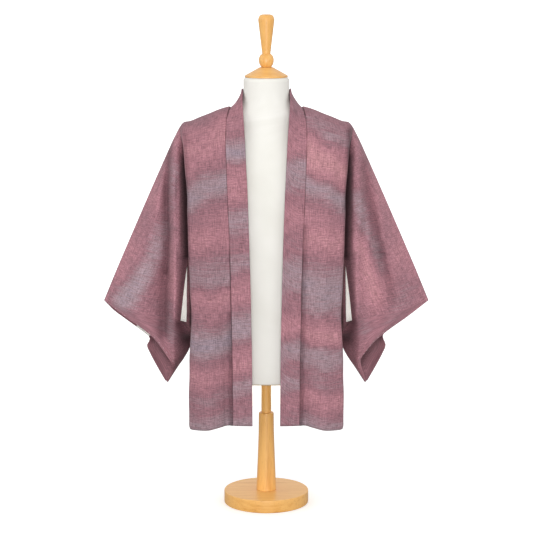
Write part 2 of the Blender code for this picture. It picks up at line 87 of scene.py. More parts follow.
CLOTH_STEP = 0.0055  # between the rows of a piece of cloth
PLACES_TRIED = 400  # to find where such rows lie
BODY_STEPS, COLLAR_STEPS, GUSSET_STEPS = (0.030, 0.030), (0.09, 0.03), (0.07, 0.02)
EDGE_STEPS = (0.06, 0.22, 0.45, 0.75)
SEAM_ROLL = 0.0016  # how round the cloth turns into a seam
SEAM_DEPTH = 0.0008
# How far out and how deep each extra column goes that dives under the next piece.
TUCK = ((0.0080, 0.0036), (0.0040, 0.0036), (0.0012, 0.0032), (0.0003, 0.0022))
GUSSET_TUCK = ((0.0055, 0.0032), (0.0014, 0.0030), (0.0004, 0.0022))
HEM_TURN, HEM_SWELL, HEM_SPREAD = 0.012, 0.0003, 0.004  # the turned-up hem's inner end
FACING = 0.030  # how far the cloth turns up inside before the lining starts
RIPPLES = {"body": 0.0005, "collar": 0.0004, "gusset": 0.0004, "sleeve": 0.0006, "lining": 0.0004}
# How far from a piece's edges its ripples and creases have died away.
CALM = {"body": 0.012, "collar": 0.010, "sleeve": 0.015, "cuff": 0.020}
CUT_COLUMN, CUT_START = 8, 0.03  # the column along which a body's length is measured
MERGE = 0.00001
SIDES = {"right": -1.0, "left": 1.0}
OTHER = {"right": "left", "left": "right"}
OUTWARDS = {"front": -1.0, "back": 1.0}
FURROW_COLUMN, RIDGE_COLUMN = 0.50, 0.74
SLEEVE_COLUMNS = np.round((0, 0.006, 0.02, *np.linspace(0.045, 0.955, 40), 0.98, 0.994, 1), 4)
SLEEVE_COLUMNS = np.unique((*SLEEVE_COLUMNS, FURROW_COLUMN, RIDGE_COLUMN))


def metres(table):
    return np.array(table) / MM


# ---- sections of the body panels -----------------------------------------------------
# A row is one section across a panel, from its inner edge (the collar seam in front, the
# centre seam behind) past the middle and the turn at the side to its outer edge (the
# armhole seam, and below that the gusset seam). x is measured outwards from the middle.

PANELS = {
    # z_in, z_corner, z_edge, x_in, y_in, y_near, y_mid, x_corner, y_corner, x_edge, y_edge
    "front": metres((
        (214, 202, 201, 77, -114, -110, -132, 178.5, -92, 170, -45),
        (290, 285, 285, 77.5, -113, -110, -128, 178.5, -90, 168, -41),
        (390, 388, 388, 78.5, -112, -110, -124, 176, -86, 164, -36),
        (470, 470, 470, 80, -111, -111, -121, 172.2, -83, 162, -32),
        (540, 540, 540, 81, -110, -111, -119, 174.5, -83, 165, -28),
        (600, 600, 600, 82.5, -109, -110, -117, 178.5, -84, 172, -24),
        (680, 680, 680, 85.5, -106, -107, -113, 180, -84, 176.5, -22),
        (750, 745, 745, 88.5, -101, -102, -106, 181, -82, 179.5, -22),
        (810, 800, 800, 90.8, -94, -95, -98, 184.5, -76, 183.5, -26),
        (865, 848, 845, 92.5, -80, -81, -82, 188.5, -64, 189.5, -30),
        (906, 883, 874, 91.8, -57, -57, -57, 191.5, -45, 196, -26),
        (932.5, 899.5, 888, 88.5, -29, -29, -29, 190.5, -23, 199.5, -15),
        (943, 906, 893, 84.5, 0, 0, 0, 190.5, 0, 201.2, 0),
    )),
    "back": metres((
        (943, 906, 893, 84.5, 0, 0, 0, 190.5, 0, 201.2, 0),
        (937.5, 900, 888, 76, 32, 32, 30, 190, 23, 199, 15),
        (930, 885, 874, 44, 60, 60, 56, 189, 44, 194.5, 26),
        (923, 855, 845, 0.2, 72, 72, 77, 185.5, 62, 188.5, 30),
        (870, 805, 800, 0.2, 90, 90, 94, 182, 74, 183, 30),
        (770, 745, 745, 0.2, 102, 102, 107, 180, 82, 178, 30),
        (680, 680, 680, 0.2, 108, 108, 113, 178.5, 85, 174, 31),
        (600, 600, 600, 0.2, 110, 110, 117, 177, 87, 170, 33),
        (500, 500, 500, 0.2, 112, 112, 120, 173, 88, 162.5, 36),
        (400, 400, 400, 0.2, 113, 113, 122, 173.5, 89, 162.5, 38),
        (300, 300, 300, 0.2, 114, 114, 125, 176.5, 92, 166, 42),
        (205, 205, 205, 0.2, 115, 115, 127, 178, 94, 169, 45),
    )),
}  # fmt: skip
Z_EDGE = 2  # the column of the edge's height
CREST = len(PANELS["front"]) - 1  # the shoulder, counted from the front hem
NECK_CORNER = 3  # the back section where the neckline meets the centre seam
SHARES = (0.0, 0.10, 0.46, 0.78, 0.91, 1.0)  # where the control points lie across a panel
# The second control lies beside the seam, the third midway and the fourth by the corner.
NEAR_SEAM, MIDWAY, NEAR_CORNER = 0.016, 0.52, 0.017
DOWN_AT_SEAM, DOWN_AT_CORNER, DEPTH_OF_MIDDLE = 0.12, 0.88, 0.55
EDGE_HALVINGS = 40  # how often the search for a height on the outer edge is halved

# The collar band's free edge as x, y and z: one row for each section, from the centre of the
# back round the neck and down the front. Its seam side follows the body panels.
COLLAR_EDGE = metres((
    (0, 64, 970), (39, 49, 974), (55, 24, 981), (56.8, -2, 984), (56.2, -32, 968),
    (52.5, -60, 925), (48.5, -83, 872), (45.5, -97, 812), (42.5, -104.5, 751), (40, -109, 680),
    (37.5, -112, 600), (36, -113, 540), (34.5, -114, 470), (33, -115, 391), (32.2, -116, 292),
    (31.8, -116.5, 213.5),
))  # fmt: skip

# ---- the sleeves ---------------------------------------------------------------------
# A row runs across one layer from its outer edge (the top fold, and past the cuff corner
# the cuff edge) to its inner edge (the armhole seam, the open edge below it, and past the
# inner corner the closed bottom edge). The columns after the two ends say where the furrow
# and the ridge lie, and give the depth of the first swell, the furrow and the ridge.

CUFF_ROW, UNDERARM_ROW, CORNER_ROW, LAST_ROW = 5, 3, 7, 11
ENDS_OUT, ENDS_IN, FOLDS = slice(0, 3), slice(3, 6), slice(6, 11)
SLEEVE_LAYERS = {
    # x_out, y_out, z_out, x_in, y_in, z_in, x_furrow, x_ridge, y_swell, y_furrow, y_ridge
    "front": metres((
        (203, 0, 892.5, 198.5, -22, 880, 202, 200, -6, -12, -20),
        (240.7, 0, 809.6, 185, -26, 800, 225, 207, -30, -42, -58),
        (280.4, 0, 720.4, 178, -22, 700, 230, 208, -43, -42, -64),
        (320.1, 0, 630, 180, -30, 600, 230, 207, -53, -44, -68),
        (350.5, 0, 560, 190.5, -45, 524, 234, 208, -57, -46, -70),
        (380.5, 0, 488, 198.5, -58, 451, 237, 212, -59, -46, -68),
        (327.1, -40, 456, 176.5, -30, 418, 237.5, 212, -60, -48, -66),
        (279.9, -50, 424, 174, 8, 400, 237, 213, -58, -49, -62),
        (254.6, -50, 398.5, 181, 8, 371.8, 234, 213, -53, -48, -57),
        (229, -46, 360, 193.9, 6, 348.3, 221.5, 212, -46, -45, -46),
        (220.5, -34, 337, 208.5, 4, 327.5, 217.5, 214, -33, -30, -24),
        (235, -8, 294, 231.5, 0, 292.2, 234, 233, -8, -7, -5),
    )),
    "back": metres((
        (203, 0, 892.5, 198.5, 22, 880, 202, 200, 6, 12, 20),
        (240.7, 0, 809.6, 183.5, 30, 800, 224, 207, 30, 42, 59),
        (280.4, 0, 720.4, 175.5, 30, 700, 232, 208, 43, 44, 66),
        (320.1, 0, 630, 171.6, 33, 600, 238, 207, 50, 45, 67),
        (350.5, 0, 560, 173.5, 43, 520, 245, 209, 50, 38, 60),
        (380.5, 0, 488, 174, 46, 450, 250, 212, 53, 42, 60),
        (334, 34, 447.5, 174, 36, 420, 250, 214, 55, 44, 59),
        (280, 46, 401, 174, 8, 400, 248, 215, 55, 45, 56),
        (284, 48, 371, 181, 8, 371.8, 245, 215, 52, 44, 49),
        (276.5, 42, 352, 193.9, 6, 348.3, 240, 216, 44, 40, 38),
        (260, 26, 325, 208.5, 4, 327.5, 237, 221, 28, 25, 18),
        (239, 8, 293.5, 231.5, 0, 292.2, 236, 233.5, 8, 6, 3),
    )),
}  # fmt: skip

# ---- the dress form ------------------------------------------------------------------
# Height, half width, half depth at the sides and in the middle, and how square the section
# is, in thousandths (2000 is an ellipse).

TORSO_SECTIONS = metres((
    (302, 134, 84, 84, 2300),
    (306, 139, 88, 88, 2300),
    (330, 141, 90, 90, 2300),
    (450, 138, 90, 90, 2300),
    (600, 142, 92, 92, 2300),
    (720, 155, 92, 92, 2300),
    (800, 168, 85, 88, 2300),
    (845, 174, 70, 81, 2300),
    (870, 175, 56, 75, 2200),
    (888, 168, 45, 70, 2200),
    (902, 150, 39, 66, 2200),
    (914, 122, 38, 63, 2200),
    (925, 94, 43, 60, 2100),
    (938, 69, 49, 57.5, 2000),
    (955, 56, 53, 55, 2000),
    (978, 53, 52.5, 53, 2000),
    (1009.8, 52.5, 52.5, 52.5, 2000),
))  # fmt: skip
THROAT_WIDTH = 0.055  # how far from the middle the greater depth reaches
TORSO_SIDES, TORSO_RINGS, TORSO_ROUND = 160, 150, 0.004
TORSO_EDGE, TORSO_EDGE_END = np.array((0.0, 0.0003, 0.0008, 0.0016, 0.0028, 0.0044)), 0.008
TURNED_UNDER, TURNED_UP = (0.965, 0.955, 1.0), (0.0, 0.0, 0.0006)
TAPE_HEIGHTS, TAPE_PROUD, TAPE_CLEAR = np.linspace(0.0008, 0.0034, 4), 0.0006, 0.0002

# Radius and height, from the middle of the top down the outer side, and how far from it
# each corner starts to turn.
BASE_PROFILE = metres((
    (0, 30, 0), (100, 30, 2.6), (100, 0, 2.6), (0, 0, 0),
))  # fmt: skip
POST_PROFILE = metres((
    (0, 218.5, 0), (17.7, 218.5, 3), (18.2, 170, 20), (20.6, 100, 30), (23.4, 30.3, 0),
    (0, 30.3, 0),
))  # fmt: skip
POLE_PROFILE = metres((
    (0, 301.7, 0), (11.7, 301.7, 0.4), (11.7, 218.8, 0), (0, 218.8, 0),
))  # fmt: skip
CAP_PROFILE = metres((
    (0, 1032.5, 0), (15.2, 1032.5, 1.2), (49.5, 1013.4, 1.2), (49.5, 1010.1, 0.8),
    (0, 1010.1, 0),
))  # fmt: skip
FINIAL_PROFILE = metres((
    (0, 1153), (9, 1152.6), (14.5, 1150.5), (17.4, 1146), (18.4, 1140), (18, 1134.5),
    (9.7, 1064.5), (10.2, 1062.8), (14, 1059.6), (16.6, 1054), (17.2, 1047.5), (16, 1040.5),
    (13, 1035.2), (10.5, 1032.8), (0, 1032.8),
))  # fmt: skip
TURNED_STEPS, SHARP_ANGLE, CORNER_STEPS, PROFILE_STEPS = 96, 50, 6, 4

# ---- bands of colour -----------------------------------------------------------------
# The weft is dyed in soft bands. A pair is a height and the shade there: 0 is blue-grey,
# 1 is lavender grey, 2 plum, 3 rose and 4 pink.

BODY_BANDS = {
    "right": (
        (210, 1.0), (235, 1.4), (262, 2.2), (292, 1.6), (320, 2.8), (348, 3.2), (390, 1.5),
        (417, 0.2), (440, 1.0), (470, 2.2), (497, 2.5), (524, 3.5), (558, 1.1), (580, 1.4),
        (612, 1.7), (655, 3.2), (685, 2.8), (740, 2.0), (768, 0.6), (797, 1.1), (835, 2.6),
        (880, 3.3), (915, 2.9), (945, 1.8),
    ),
    "left": (
        (210, 1.0), (240, 1.8), (285, 3.6), (315, 1.6), (345, 2.1), (375, 1.2), (400, 0.9),
        (430, 3.5), (450, 3.2), (478, 2.1), (502, 1.2), (548, 0.7), (572, 1.2), (608, 1.9),
        (654, 3.5), (680, 3.0), (715, 2.6), (748, 1.6), (775, 0.5), (805, 3.0), (840, 4.0),
        (866, 3.2), (905, 1.3), (945, 2.2),
    ),
    "back": (
        (205, 1.2), (240, 2.2), (275, 3.3), (310, 1.4), (345, 0.5), (385, 1.9), (420, 3.2),
        (455, 2.6), (490, 2.0), (525, 0.8), (560, 1.3), (600, 2.9), (640, 3.4), (675, 2.1),
        (715, 1.0), (750, 0.4), (790, 1.8), (830, 3.1), (870, 2.4), (905, 1.9), (945, 2.0),
    ),
}  # fmt: skip
COLLAR_BANDS = {
    "right": (
        (215, 1.1), (250, 2.1), (283, 1.9), (308, 0.9), (332, 2.2), (357, 3.5), (385, 2.7),
        (410, 2.1), (432, 0.9), (462, 0.8), (485, 1.9), (512, 2.9), (545, 3.0), (572, 1.8),
        (592, 0.9), (618, 1.9), (650, 2.2), (680, 1.2), (710, 1.0), (738, 2.8), (780, 3.1),
        (815, 2.4), (842, 0.4), (868, 1.0), (890, 2.3), (925, 2.4), (955, 2.9), (985, 1.8),
    ),
    "left": (
        (215, 1.6), (245, 2.0), (275, 2.6), (302, 1.2), (325, 1.4), (350, 2.2), (382, 1.0),
        (405, 1.1), (430, 2.9), (452, 3.3), (482, 2.2), (510, 2.0), (540, 1.2), (590, 1.2),
        (618, 2.2), (655, 2.1), (690, 2.9), (725, 2.5), (752, 2.0), (785, 1.1), (822, 1.2),
        (848, 3.0), (880, 2.6), (915, 2.2), (950, 1.9), (985, 2.2),
    ),
}  # fmt: skip
# Soft patches on a sleeve: the shade, how fully it covers, how wide it is and its line.
SLEEVE_GROUND = 2.6
SLEEVE_PATCHES = {
    "right": (
        # Partly dye, partly painted shade in the furrow.
        (2.0, 0.6, 18, (226, 860), (232, 780), (233, 690)),
        (3.2, 0.6, 20, (264, 660), (299, 580), (342, 530)),
        (0.5, 0.62, 34, (242, 660), (262, 600), (287, 550), (325, 500)),
        (0.3, 0.5, 22, (278, 566), (300, 535), (340, 490)),
        (1.1, 0.55, 14, (210, 808), (212.5, 715)),
        # Partly dye, partly a painted highlight on the ridge.
        (3.4, 0.6, 13, (216, 650), (219, 600), (219, 525)),
        # Partly dye, partly painted shade where the fold turns in.
        (1.9, 0.6, 18, (256, 500), (242, 410)),
        (1.0, 0.55, 14, (222, 485), (221, 405)),
    ),
    "left": (
        (1.5, 0.6, 18, (213, 900), (227, 845)),
        (3.1, 0.5, 18, (246, 808), (311, 656), (353, 550)),
        (0.6, 0.7, 22, (209, 735), (224, 680), (244, 620), (260, 570)),
        (3.7, 0.8, 20, (213, 640), (230, 588), (248, 530), (260, 490)),
        (1.4, 0.5, 34, (328, 535), (290, 460)),
        (1.4, 0.5, 18, (213, 480), (228, 425)),
    ),
}
# How far a band drops for each metre it runs outwards over the body, by height.
WEFT_DROP = ((0.20, 0.05), (0.35, 0.16), (0.55, 0.24), (0.70, 0.42), (0.85, 0.36), (0.95, 0.30))
BACK_SLOPES = {"right": 0.35, "left": 0.20}  # the back's bands drop less than the fronts'
COLLAR_SEAM_X = 0.085  # where the drop starts
BACK_BANDS_LOWER = 0.05  # how much lower the back's bands lie on the gussets
# How the bands and patches wander: how far, how often across and up, and where it starts.
BODY_WAVES = ((0.006, 34, 9, 0.0), (0.003, 95, -21, 1.0))
COLLAR_WAVES, SLEEVE_WAVES = ((0.004, 60, 0, 0.0),), ((0.25, 23, -31, 0.0),)
LAST_SHADE = 4.0
DYE_RUN = 0.011

# ---- hollows and ridges in the cloth --------------------------------------------------
# A row is a soft line: how high it stands (less than 0 is a hollow), how wide it is, and
# the points that it runs through, as x outwards and z.

# These lines lie in the same place on both sides.
NECK_HOLLOW = (-6, 13, (66, 990), (74, 958), (76, 915))
ARMHOLE_RIDGE = (8, 6, (197, 840), (198.5, 700), (198.5, 590))
BODY_CREASES = {
    "right": (
        (-4.2, 5, (90.5, 430), (90, 330), (91.5, 190)),
        (2.2, 8, (106, 420), (104, 330), (106, 190)),
        (-1.6, 2.8, (84.5, 270), (85, 190)),
        (1.6, 13, (108, 700), (109, 560), (104, 440)),
        (-2.2, 13, (142, 640), (138, 480), (143, 320)),
        (1.4, 12, (166, 560), (160, 400), (164, 240)),
        (-1.2, 6, (176, 850), (150, 760), (120, 700)),
        (-1.2, 8, (105, 880), (112, 800), (110, 720)),
    ),
    "left": (
        (-4, 5, (88.5, 470), (89, 330), (90, 190)),
        (2, 8, (104, 430), (103, 330), (105, 190)),
        (-1.4, 2.8, (83.5, 300), (84, 190)),
        (1.6, 14, (115, 690), (118, 540), (112, 400)),
        (-2, 13, (148, 640), (150, 500), (144, 300)),
        (1.2, 11, (168, 540), (166, 400), (168, 230)),
        (-3.4, 7, (179, 890), (173, 840), (170, 790), (169, 730)),
        (1.6, 9, (156, 870), (152, 800), (150, 720)),
    ),
}
COLLAR_CREASES = {
    "right": (
        (-1.6, 6, (62, 520), (56, 440), (58, 300)),
        NECK_HOLLOW,
        (-1.2, 4, (74, 900), (64, 880)),
        (1.2, 6, (48, 620), (47, 500)),
    ),
    "left": (
        (-1.4, 6, (60, 600), (54, 500), (56, 360)),
        NECK_HOLLOW,
        (-1.2, 4, (76, 890), (66, 860)),
        (1.2, 6, (44, 420), (46, 280)),
    ),
}
BACK_CREASES = {
    "right": (
        (-2.4, 11, (50, 560), (56, 400), (52, 190)),
        (2, 12, (90, 620), (95, 420), (92, 190)),
        (-2.8, 11, (133, 600), (131, 430), (137, 220)),
        (-1.8, 7, (165, 800), (145, 720), (125, 660)),
        (-1.2, 6, (30, 880), (70, 850), (110, 845)),
    ),
    "left": (
        (-2.2, 11, (42, 520), (46, 380), (48, 190)),
        (2, 13, (84, 600), (86, 420), (90, 190)),
        (-2.6, 10, (128, 640), (133, 430), (134, 220)),
        (-2, 7, (168, 780), (150, 700), (135, 620)),
        (-1.2, 6, (26, 870), (64, 835), (100, 830)),
    ),
}
SLEEVE_CREASES = {
    "right": (
        (-13, 8.5, (224, 860), (229, 731), (228, 637), (235, 540)),
        (-10, 10, (232, 600), (238, 500), (239, 400)),
        (4, 6, (211, 840), (210.5, 700), (210.5, 560), (215, 420)),
        (-8, 18, (244, 560), (245, 470), (238, 385)),
        ARMHOLE_RIDGE,
        (2, 12, (305, 600), (295, 520), (278, 440)),
        (-1.6, 8, (340, 540), (325, 480)),
        (-2.2, 5, (226, 470), (222, 410), (226, 350)),
        (-1.4, 5, (190, 800), (202, 760), (215, 700)),
    ),
    "left": (
        (-12, 12, (226, 830), (250, 673), (264, 607), (294, 480)),
        (9, 11, (230, 690), (233, 600), (237, 460), (234, 350)),
        ARMHOLE_RIDGE,
        (2.2, 10, (256, 720), (276, 620), (305, 520)),
        (-1.6, 7, (330, 570), (326, 480)),
        (-2.4, 5, (238, 430), (225, 380)),
        (-1.4, 5, (190, 790), (205, 740), (214, 680)),
    ),
}
CREASE_FADE = 0.18  # the share of a line's length over which each end dies away
# Painted shade where the cloth lies deep in a fold: how much, how wide and the line.
ARMHOLE_PAINTED_SHADE = (0.95, 8.5, (185, 880), (188, 800), (186, 700), (184, 600))
OPEN_EDGE_PAINTED_SHADE = (0.6, 8, (186, 600), (196, 520), (202, 450))
# Along the collar seam: partly the seam's own dark joint, partly painted shade beside it.
COLLAR_SEAM_JOINT_AND_PAINTED_SHADE = (0.5, 2.6, (83, 620), (79.8, 470), (78.5, 390), (77.4, 200))
SLEEVE_PAINTED_SHADE = {
    "right": (
        (0.5, 7.5, (222.5, 860), (229.4, 731), (227.1, 637), (232, 560)),
        (0.5, 13, (232, 560), (237, 480), (238.7, 420)),
        ARMHOLE_PAINTED_SHADE,
        OPEN_EDGE_PAINTED_SHADE,
        (0.85, 18, (200, 440), (188, 400)),
        (0.5, 12, (184, 400), (195, 360), (217, 331)),
    ),
    "left": (
        (0.4, 12, (224, 815), (235, 755), (249, 673), (263, 607)),
        (0.34, 14, (263, 607), (276.5, 567), (290, 500)),
        ARMHOLE_PAINTED_SHADE,
        OPEN_EDGE_PAINTED_SHADE,
        (0.8, 18, (200, 440), (188, 400)),
    ),
}
# Painted shade on the back layer's inner face, under the front layer's hem and beside the body.
CUFF_PAINTED_LIGHT_AND_SHADE = (
    (0.55, 11, (276, 402), (255, 374), (232, 343)),
    (0.9, 3, (179.5, 560), (178.5, 420)),
    # Below 0 it paints light: the cloth below the lining in the open edge comes out paler.
    (-0.75, 10, (189, 430), (185, 412)),
)
# Painted shade along the bodies' outer edges and beside the collar seam.
BODY_PAINTED_SHADE = {
    "right": (
        (0.3, 5, (184, 880), (180, 700), (178, 600)),
        COLLAR_SEAM_JOINT_AND_PAINTED_SHADE,
        (0.35, 5.5, (85, 480), (83.5, 390), (82.5, 205)),
    ),
    "left": (
        (0.55, 9, (191, 890), (185, 760), (182, 720)),
        (0.3, 5, (182, 720), (180, 700), (178, 600)),
        COLLAR_SEAM_JOINT_AND_PAINTED_SHADE,
        (0.4, 6, (88, 680), (85, 480), (83.5, 390), (82.5, 205)),
    ),
}
# Painted shade on the seam strips, as dark as the bottom of a seam.
SEAM_PAINTED_SHADE = 0.6
# How much darker (or, below 0, paler) a whole piece is painted: painted light and shade for how
# the light falls on it.
PAINTED_LIGHT_TONES = {"right": 0.05, "left": -0.02, "sleeve": -0.12}


# ---- the curves through the sections -------------------------------------------------


def through(rows, at):
    """The smooth curve through the rows, read at a row number that may be a fraction."""
    rows = np.asarray(rows, float)
    last = len(rows) - 1
    at = min(max(at, 0.0), float(last))
    i = min(int(at), last - 1)
    t = at - i
    before, here = rows[max(i - 1, 0)], rows[i]
    there, after = rows[i + 1], rows[min(i + 2, last)]
    slope_here = (there - before) / (2 if i > 0 else 1)
    slope_there = (after - here) / (2 if i + 2 <= last else 1)
    return (
        here * (1 + 2 * t) * (1 - t) ** 2
        + slope_here * t * (1 - t) ** 2
        + there * t * t * (3 - 2 * t)
        + slope_there * t * t * (t - 1)
    )


def through_pieces(rows, at, breaks):
    """The curve through the rows, with a corner at each row named in breaks."""
    stops = [0, *breaks, len(rows) - 1]
    for first, last in zip(stops, stops[1:]):
        if at <= last:
            return through(rows[first : last + 1], at - first)
    return through(rows[stops[-2] :], at - stops[-2])


def through_places(places, rows, at):
    """The same curve, for rows that stand at uneven places."""
    number = np.interp(at, places, range(len(places)))
    return through(rows, float(number))


def unit(vectors):
    return vectors / np.linalg.norm(vectors, axis=-1, keepdims=True)


def panel_controls(row):
    """The six control points of one section, from the inner edge to the outer."""
    z_in, z_corner, z_edge, x_in, y_in, y_near, y_mid, x_corner, y_corner, x_edge, y_edge = row
    y_out = y_corner + DEPTH_OF_MIDDLE * (y_mid - y_corner)
    z_at = lambda share: z_in + share * (z_corner - z_in)
    return np.array(
        (
            (x_in, y_in, z_in),
            (x_in + NEAR_SEAM, y_near, z_at(DOWN_AT_SEAM)),
            (x_in + MIDWAY * (x_corner - x_in), y_mid, z_at(MIDWAY)),
            (x_corner - NEAR_CORNER, y_out, z_at(DOWN_AT_CORNER)),
            (x_corner, y_corner, z_corner),
            (x_edge, y_edge, z_edge),
        )
    )


def panel_point(part, station, share):
    """A point of a body panel: the station counts sections, the share goes across."""
    breaks = (NECK_CORNER,) if part == "back" else ()
    row = through_pieces(PANELS[part], station, breaks)
    point = through_places(SHARES, panel_controls(row), share)
    point[0] = max(point[0], CENTRE_GAP)
    return point


def whole_panel_point(station, share):
    """Front and back panel as the one strip of cloth that they are, front hem first."""
    if station <= CREST:
        return panel_point("front", station, share)
    return panel_point("back", station - CREST, share)


@functools.cache
def edge_at(part, height):
    """The point of a panel's outer edge at a height."""
    sections = PANELS[part]
    first, last = 0.0, len(sections) - 1.0
    rising = sections[0, Z_EDGE] < sections[-1, Z_EDGE]
    for _ in range(EDGE_HALVINGS):
        middle = (first + last) / 2
        if (panel_point(part, middle, 1.0)[2] < height) == rising:
            first = middle
        else:
            last = middle
    return panel_point(part, middle, 1.0)


def collar_point(station, share):
    """A point of the collar, with stations counted both ways from the centre of the back.

    Share 0 is the free edge and share 1 the seam.
    """
    side = -1.0 if station < 0 else 1.0
    free = through(COLLAR_EDGE, abs(station))
    seam = whole_panel_point(CREST + NECK_CORNER - abs(station), 0.0)
    seam = seam - unit(seam - free) * SEAM_GAP
    if abs(station) < 1e-9:
        seam[0] = 0.0
    return (free + share * (seam - free)) * (side, 1.0, 1.0)


def sleeve_outer_end(part, row):
    """The top fold, which both layers share, and past the cuff corner a cuff edge."""
    table = SLEEVE_LAYERS["front" if row <= CUFF_ROW else part]
    return through_pieces(table[:, ENDS_OUT], row, (CUFF_ROW,))


def sleeve_inner_end(part, row):
    """The armhole seam, then the open edge, then the closed bottom edge of both layers."""
    table = SLEEVE_LAYERS["front" if row >= CORNER_ROW else part]
    point = through_pieces(table[:, ENDS_IN], row, (UNDERARM_ROW, CUFF_ROW, CORNER_ROW))
    if row < UNDERARM_ROW:
        point = edge_at(part, point[2])
        point = point + (np.interp(point[2], *ARMHOLE_GAPS), 0.0, 0.0)
    return point


def sleeve_point(part, row, column):
    """A point of one layer: column 0 is its outer end, column 1 its inner end.

    The furrow and the ridge keep their own columns, so the mesh runs along the folds.
    """
    outer, inner = sleeve_outer_end(part, row), sleeve_inner_end(part, row)
    x_furrow, x_ridge, swell, furrow, ridge = through(SLEEVE_LAYERS[part][:, FOLDS], row)
    furrow_at, ridge_at = ((outer[0] - x) / (outer[0] - inner[0]) for x in (x_furrow, x_ridge))
    columns = (0.0, FURROW_COLUMN, RIDGE_COLUMN, 1.0)
    share = np.interp(column, columns, (0.0, furrow_at, ridge_at, 1.0))
    places = (0.0, furrow_at / 2, furrow_at, ridge_at, 1.0)
    depths = [[outer[1]], [swell], [furrow], [ridge], [inner[1]]]
    point = outer + share * (inner - outer)
    point[1] = through_places(places, depths, share)[0]
    return point


# ---- marks and movements of the cloth ------------------------------------------------


def shade_at(bands, place):
    """The shade there, with each band run into the next as the dye does."""
    places, shades = np.transpose(bands)
    near = lambda shift: np.interp(place + shift, places / MM, shades)
    return (near(-DYE_RUN) + 2 * near(0.0) + near(DYE_RUN)) / 4 / LAST_SHADE


def waved(waves, points):
    """The sum of the waves at each point."""
    x, z = points[..., 0], points[..., 2]
    return sum(size * np.sin(across * x + up * z + start) for size, across, up, start in waves)


def body_shade(bands, points, slope=1.0):
    """Bands that drop outwards and wander a little."""
    x, z = points[..., 0], points[..., 2]
    drop = np.interp(z, *zip(*WEFT_DROP)) * slope
    height = z + drop * (x - COLLAR_SEAM_X) + waved(BODY_WAVES, points)
    return shade_at(BODY_BANDS[bands], height)


def line_places(line, points):
    """Each point's distance from the line in millimetres, and its share of the way along."""
    flat, line = points[..., (0, 2)] * MM, np.array(line)
    lengths = np.linalg.norm(np.diff(line, axis=0), axis=1)
    before = np.concatenate(((0.0,), np.cumsum(lengths)))
    nearest = np.full(flat.shape[:-1], np.inf)
    along = np.zeros(flat.shape[:-1])
    for start, end, length, run in zip(line, line[1:], lengths, before):
        t = np.clip((flat - start) @ (end - start) / length**2, 0, 1)
        gap = np.linalg.norm(flat - start - t[..., None] * (end - start), axis=-1)
        closer = gap < nearest
        nearest = np.where(closer, gap, nearest)
        along = np.where(closer, (run + t * length) / before[-1], along)
    return nearest, along


def near_line(line, width, points):
    """How strongly a soft line of that width is felt, and the share of the way along it."""
    nearest, along = line_places(line, points)
    return np.exp(-((nearest / width) ** 2)), along


def creased(creases, points):
    """How far each point moves outwards for the lines pressed into the cloth."""
    amount = np.zeros(points.shape[:-1])
    for height, width, *line in creases:
        felt, along = near_line(line, width, points)
        fade = np.clip(np.minimum(along, 1 - along) / CREASE_FADE, 0, 1)
        amount += height / MM * fade * fade * (3 - 2 * fade) * felt
    return amount


def painted_shade_lines(lines, points):
    """How strongly the lines of painted shade mark each point; below 0 they paint light."""
    amount = np.zeros(points.shape[:-1])
    for strength, width, *line in lines:
        amount = amount + strength * near_line(line, width, points)[0] * (1 - amount)
    return amount


def patched(patches, points):
    """A sleeve's shade: the ground with each soft patch laid over it."""
    shade = SLEEVE_GROUND + waved(SLEEVE_WAVES, points)
    for patch_shade, cover, width, *line in patches:
        shade = shade + cover * near_line(line, width, points)[0] * (patch_shade - shade)
    return shade / LAST_SHADE


def rippled(points, kind):
    """The slight unevenness of cloth that has been folded and hung again."""
    x, y, z = points[..., 0], points[..., 1], points[..., 2]
    waves = np.sin(61 * x + 17 * z + 2 * np.sin(13 * z)) + 0.7 * np.sin(41 * z - 37 * x + 90 * y)
    return RIPPLES[kind] * (waves + 0.5 * np.sin(120 * x - 75 * z + 1.7))


def rolled(distance, radius):
    """How far the cloth sinks at a distance from its turned edge."""
    t = np.clip(1 - distance / radius, 0, 1)
    return -radius * (1 - np.sqrt(1 - t * t))


def rolled_sides(run, first=SEAM_ROLL):
    return rolled(run, first) + rolled(run[:, -1:] - run, SEAM_ROLL)


# ---- meshes --------------------------------------------------------------------------


def spaced(step, reach):
    """Shares from 0 to 1 with closer ones within reach of the ends."""
    places = set(np.round(np.linspace(0.0, 1.0, round(1 / step) + 1), 5))
    for share in EDGE_STEPS:
        places |= {round(reach * share, 5), round(1 - reach * share, 5)}
    return np.array(sorted(places))


def even_places(point_at, last, keep=()):
    """Places from 0 to last whose points lie evenly, with those in keep as well."""
    trial = np.linspace(0.0, last, PLACES_TRIED)
    run = run_along(np.array([[point_at(t)] for t in trial]))[:, 0]
    even = np.interp(np.linspace(0, run[-1], round(run[-1] / CLOTH_STEP) + 1), run, trial)
    for place in keep:
        even[np.argmin(abs(even - place))] = place
    return even


def lay_out(place, across, along):
    return np.array([[place(a, b) for a in across] for b in along])


def normals_of(points):
    normals = np.cross(np.gradient(points, axis=1), np.gradient(points, axis=0))
    return normals / np.maximum(np.linalg.norm(normals, axis=-1, keepdims=True), 1e-12)


def run_along(points):
    """The distance of each point from the first row, measured over the cloth."""
    steps = np.linalg.norm(np.diff(points, axis=0), axis=-1)
    return np.concatenate((np.zeros((1, points.shape[1])), np.cumsum(steps, axis=0)), axis=0)


def run_across(points):
    """The distance of each point from the first column, measured over the cloth."""
    return run_along(points.swapaxes(0, 1)).T


def from_sides(run):
    return np.minimum(run, run[:, -1:] - run)


def from_ends(points):
    return np.minimum(run_along(points), run_along(points[::-1])[::-1])


def calmed(distance, kind):
    """How freely the cloth ripples there: not at all along an edge."""
    return np.clip(distance / CALM[kind], 0, 1)


def mirrored(points, side):
    return points * (side, 1.0, 1.0)


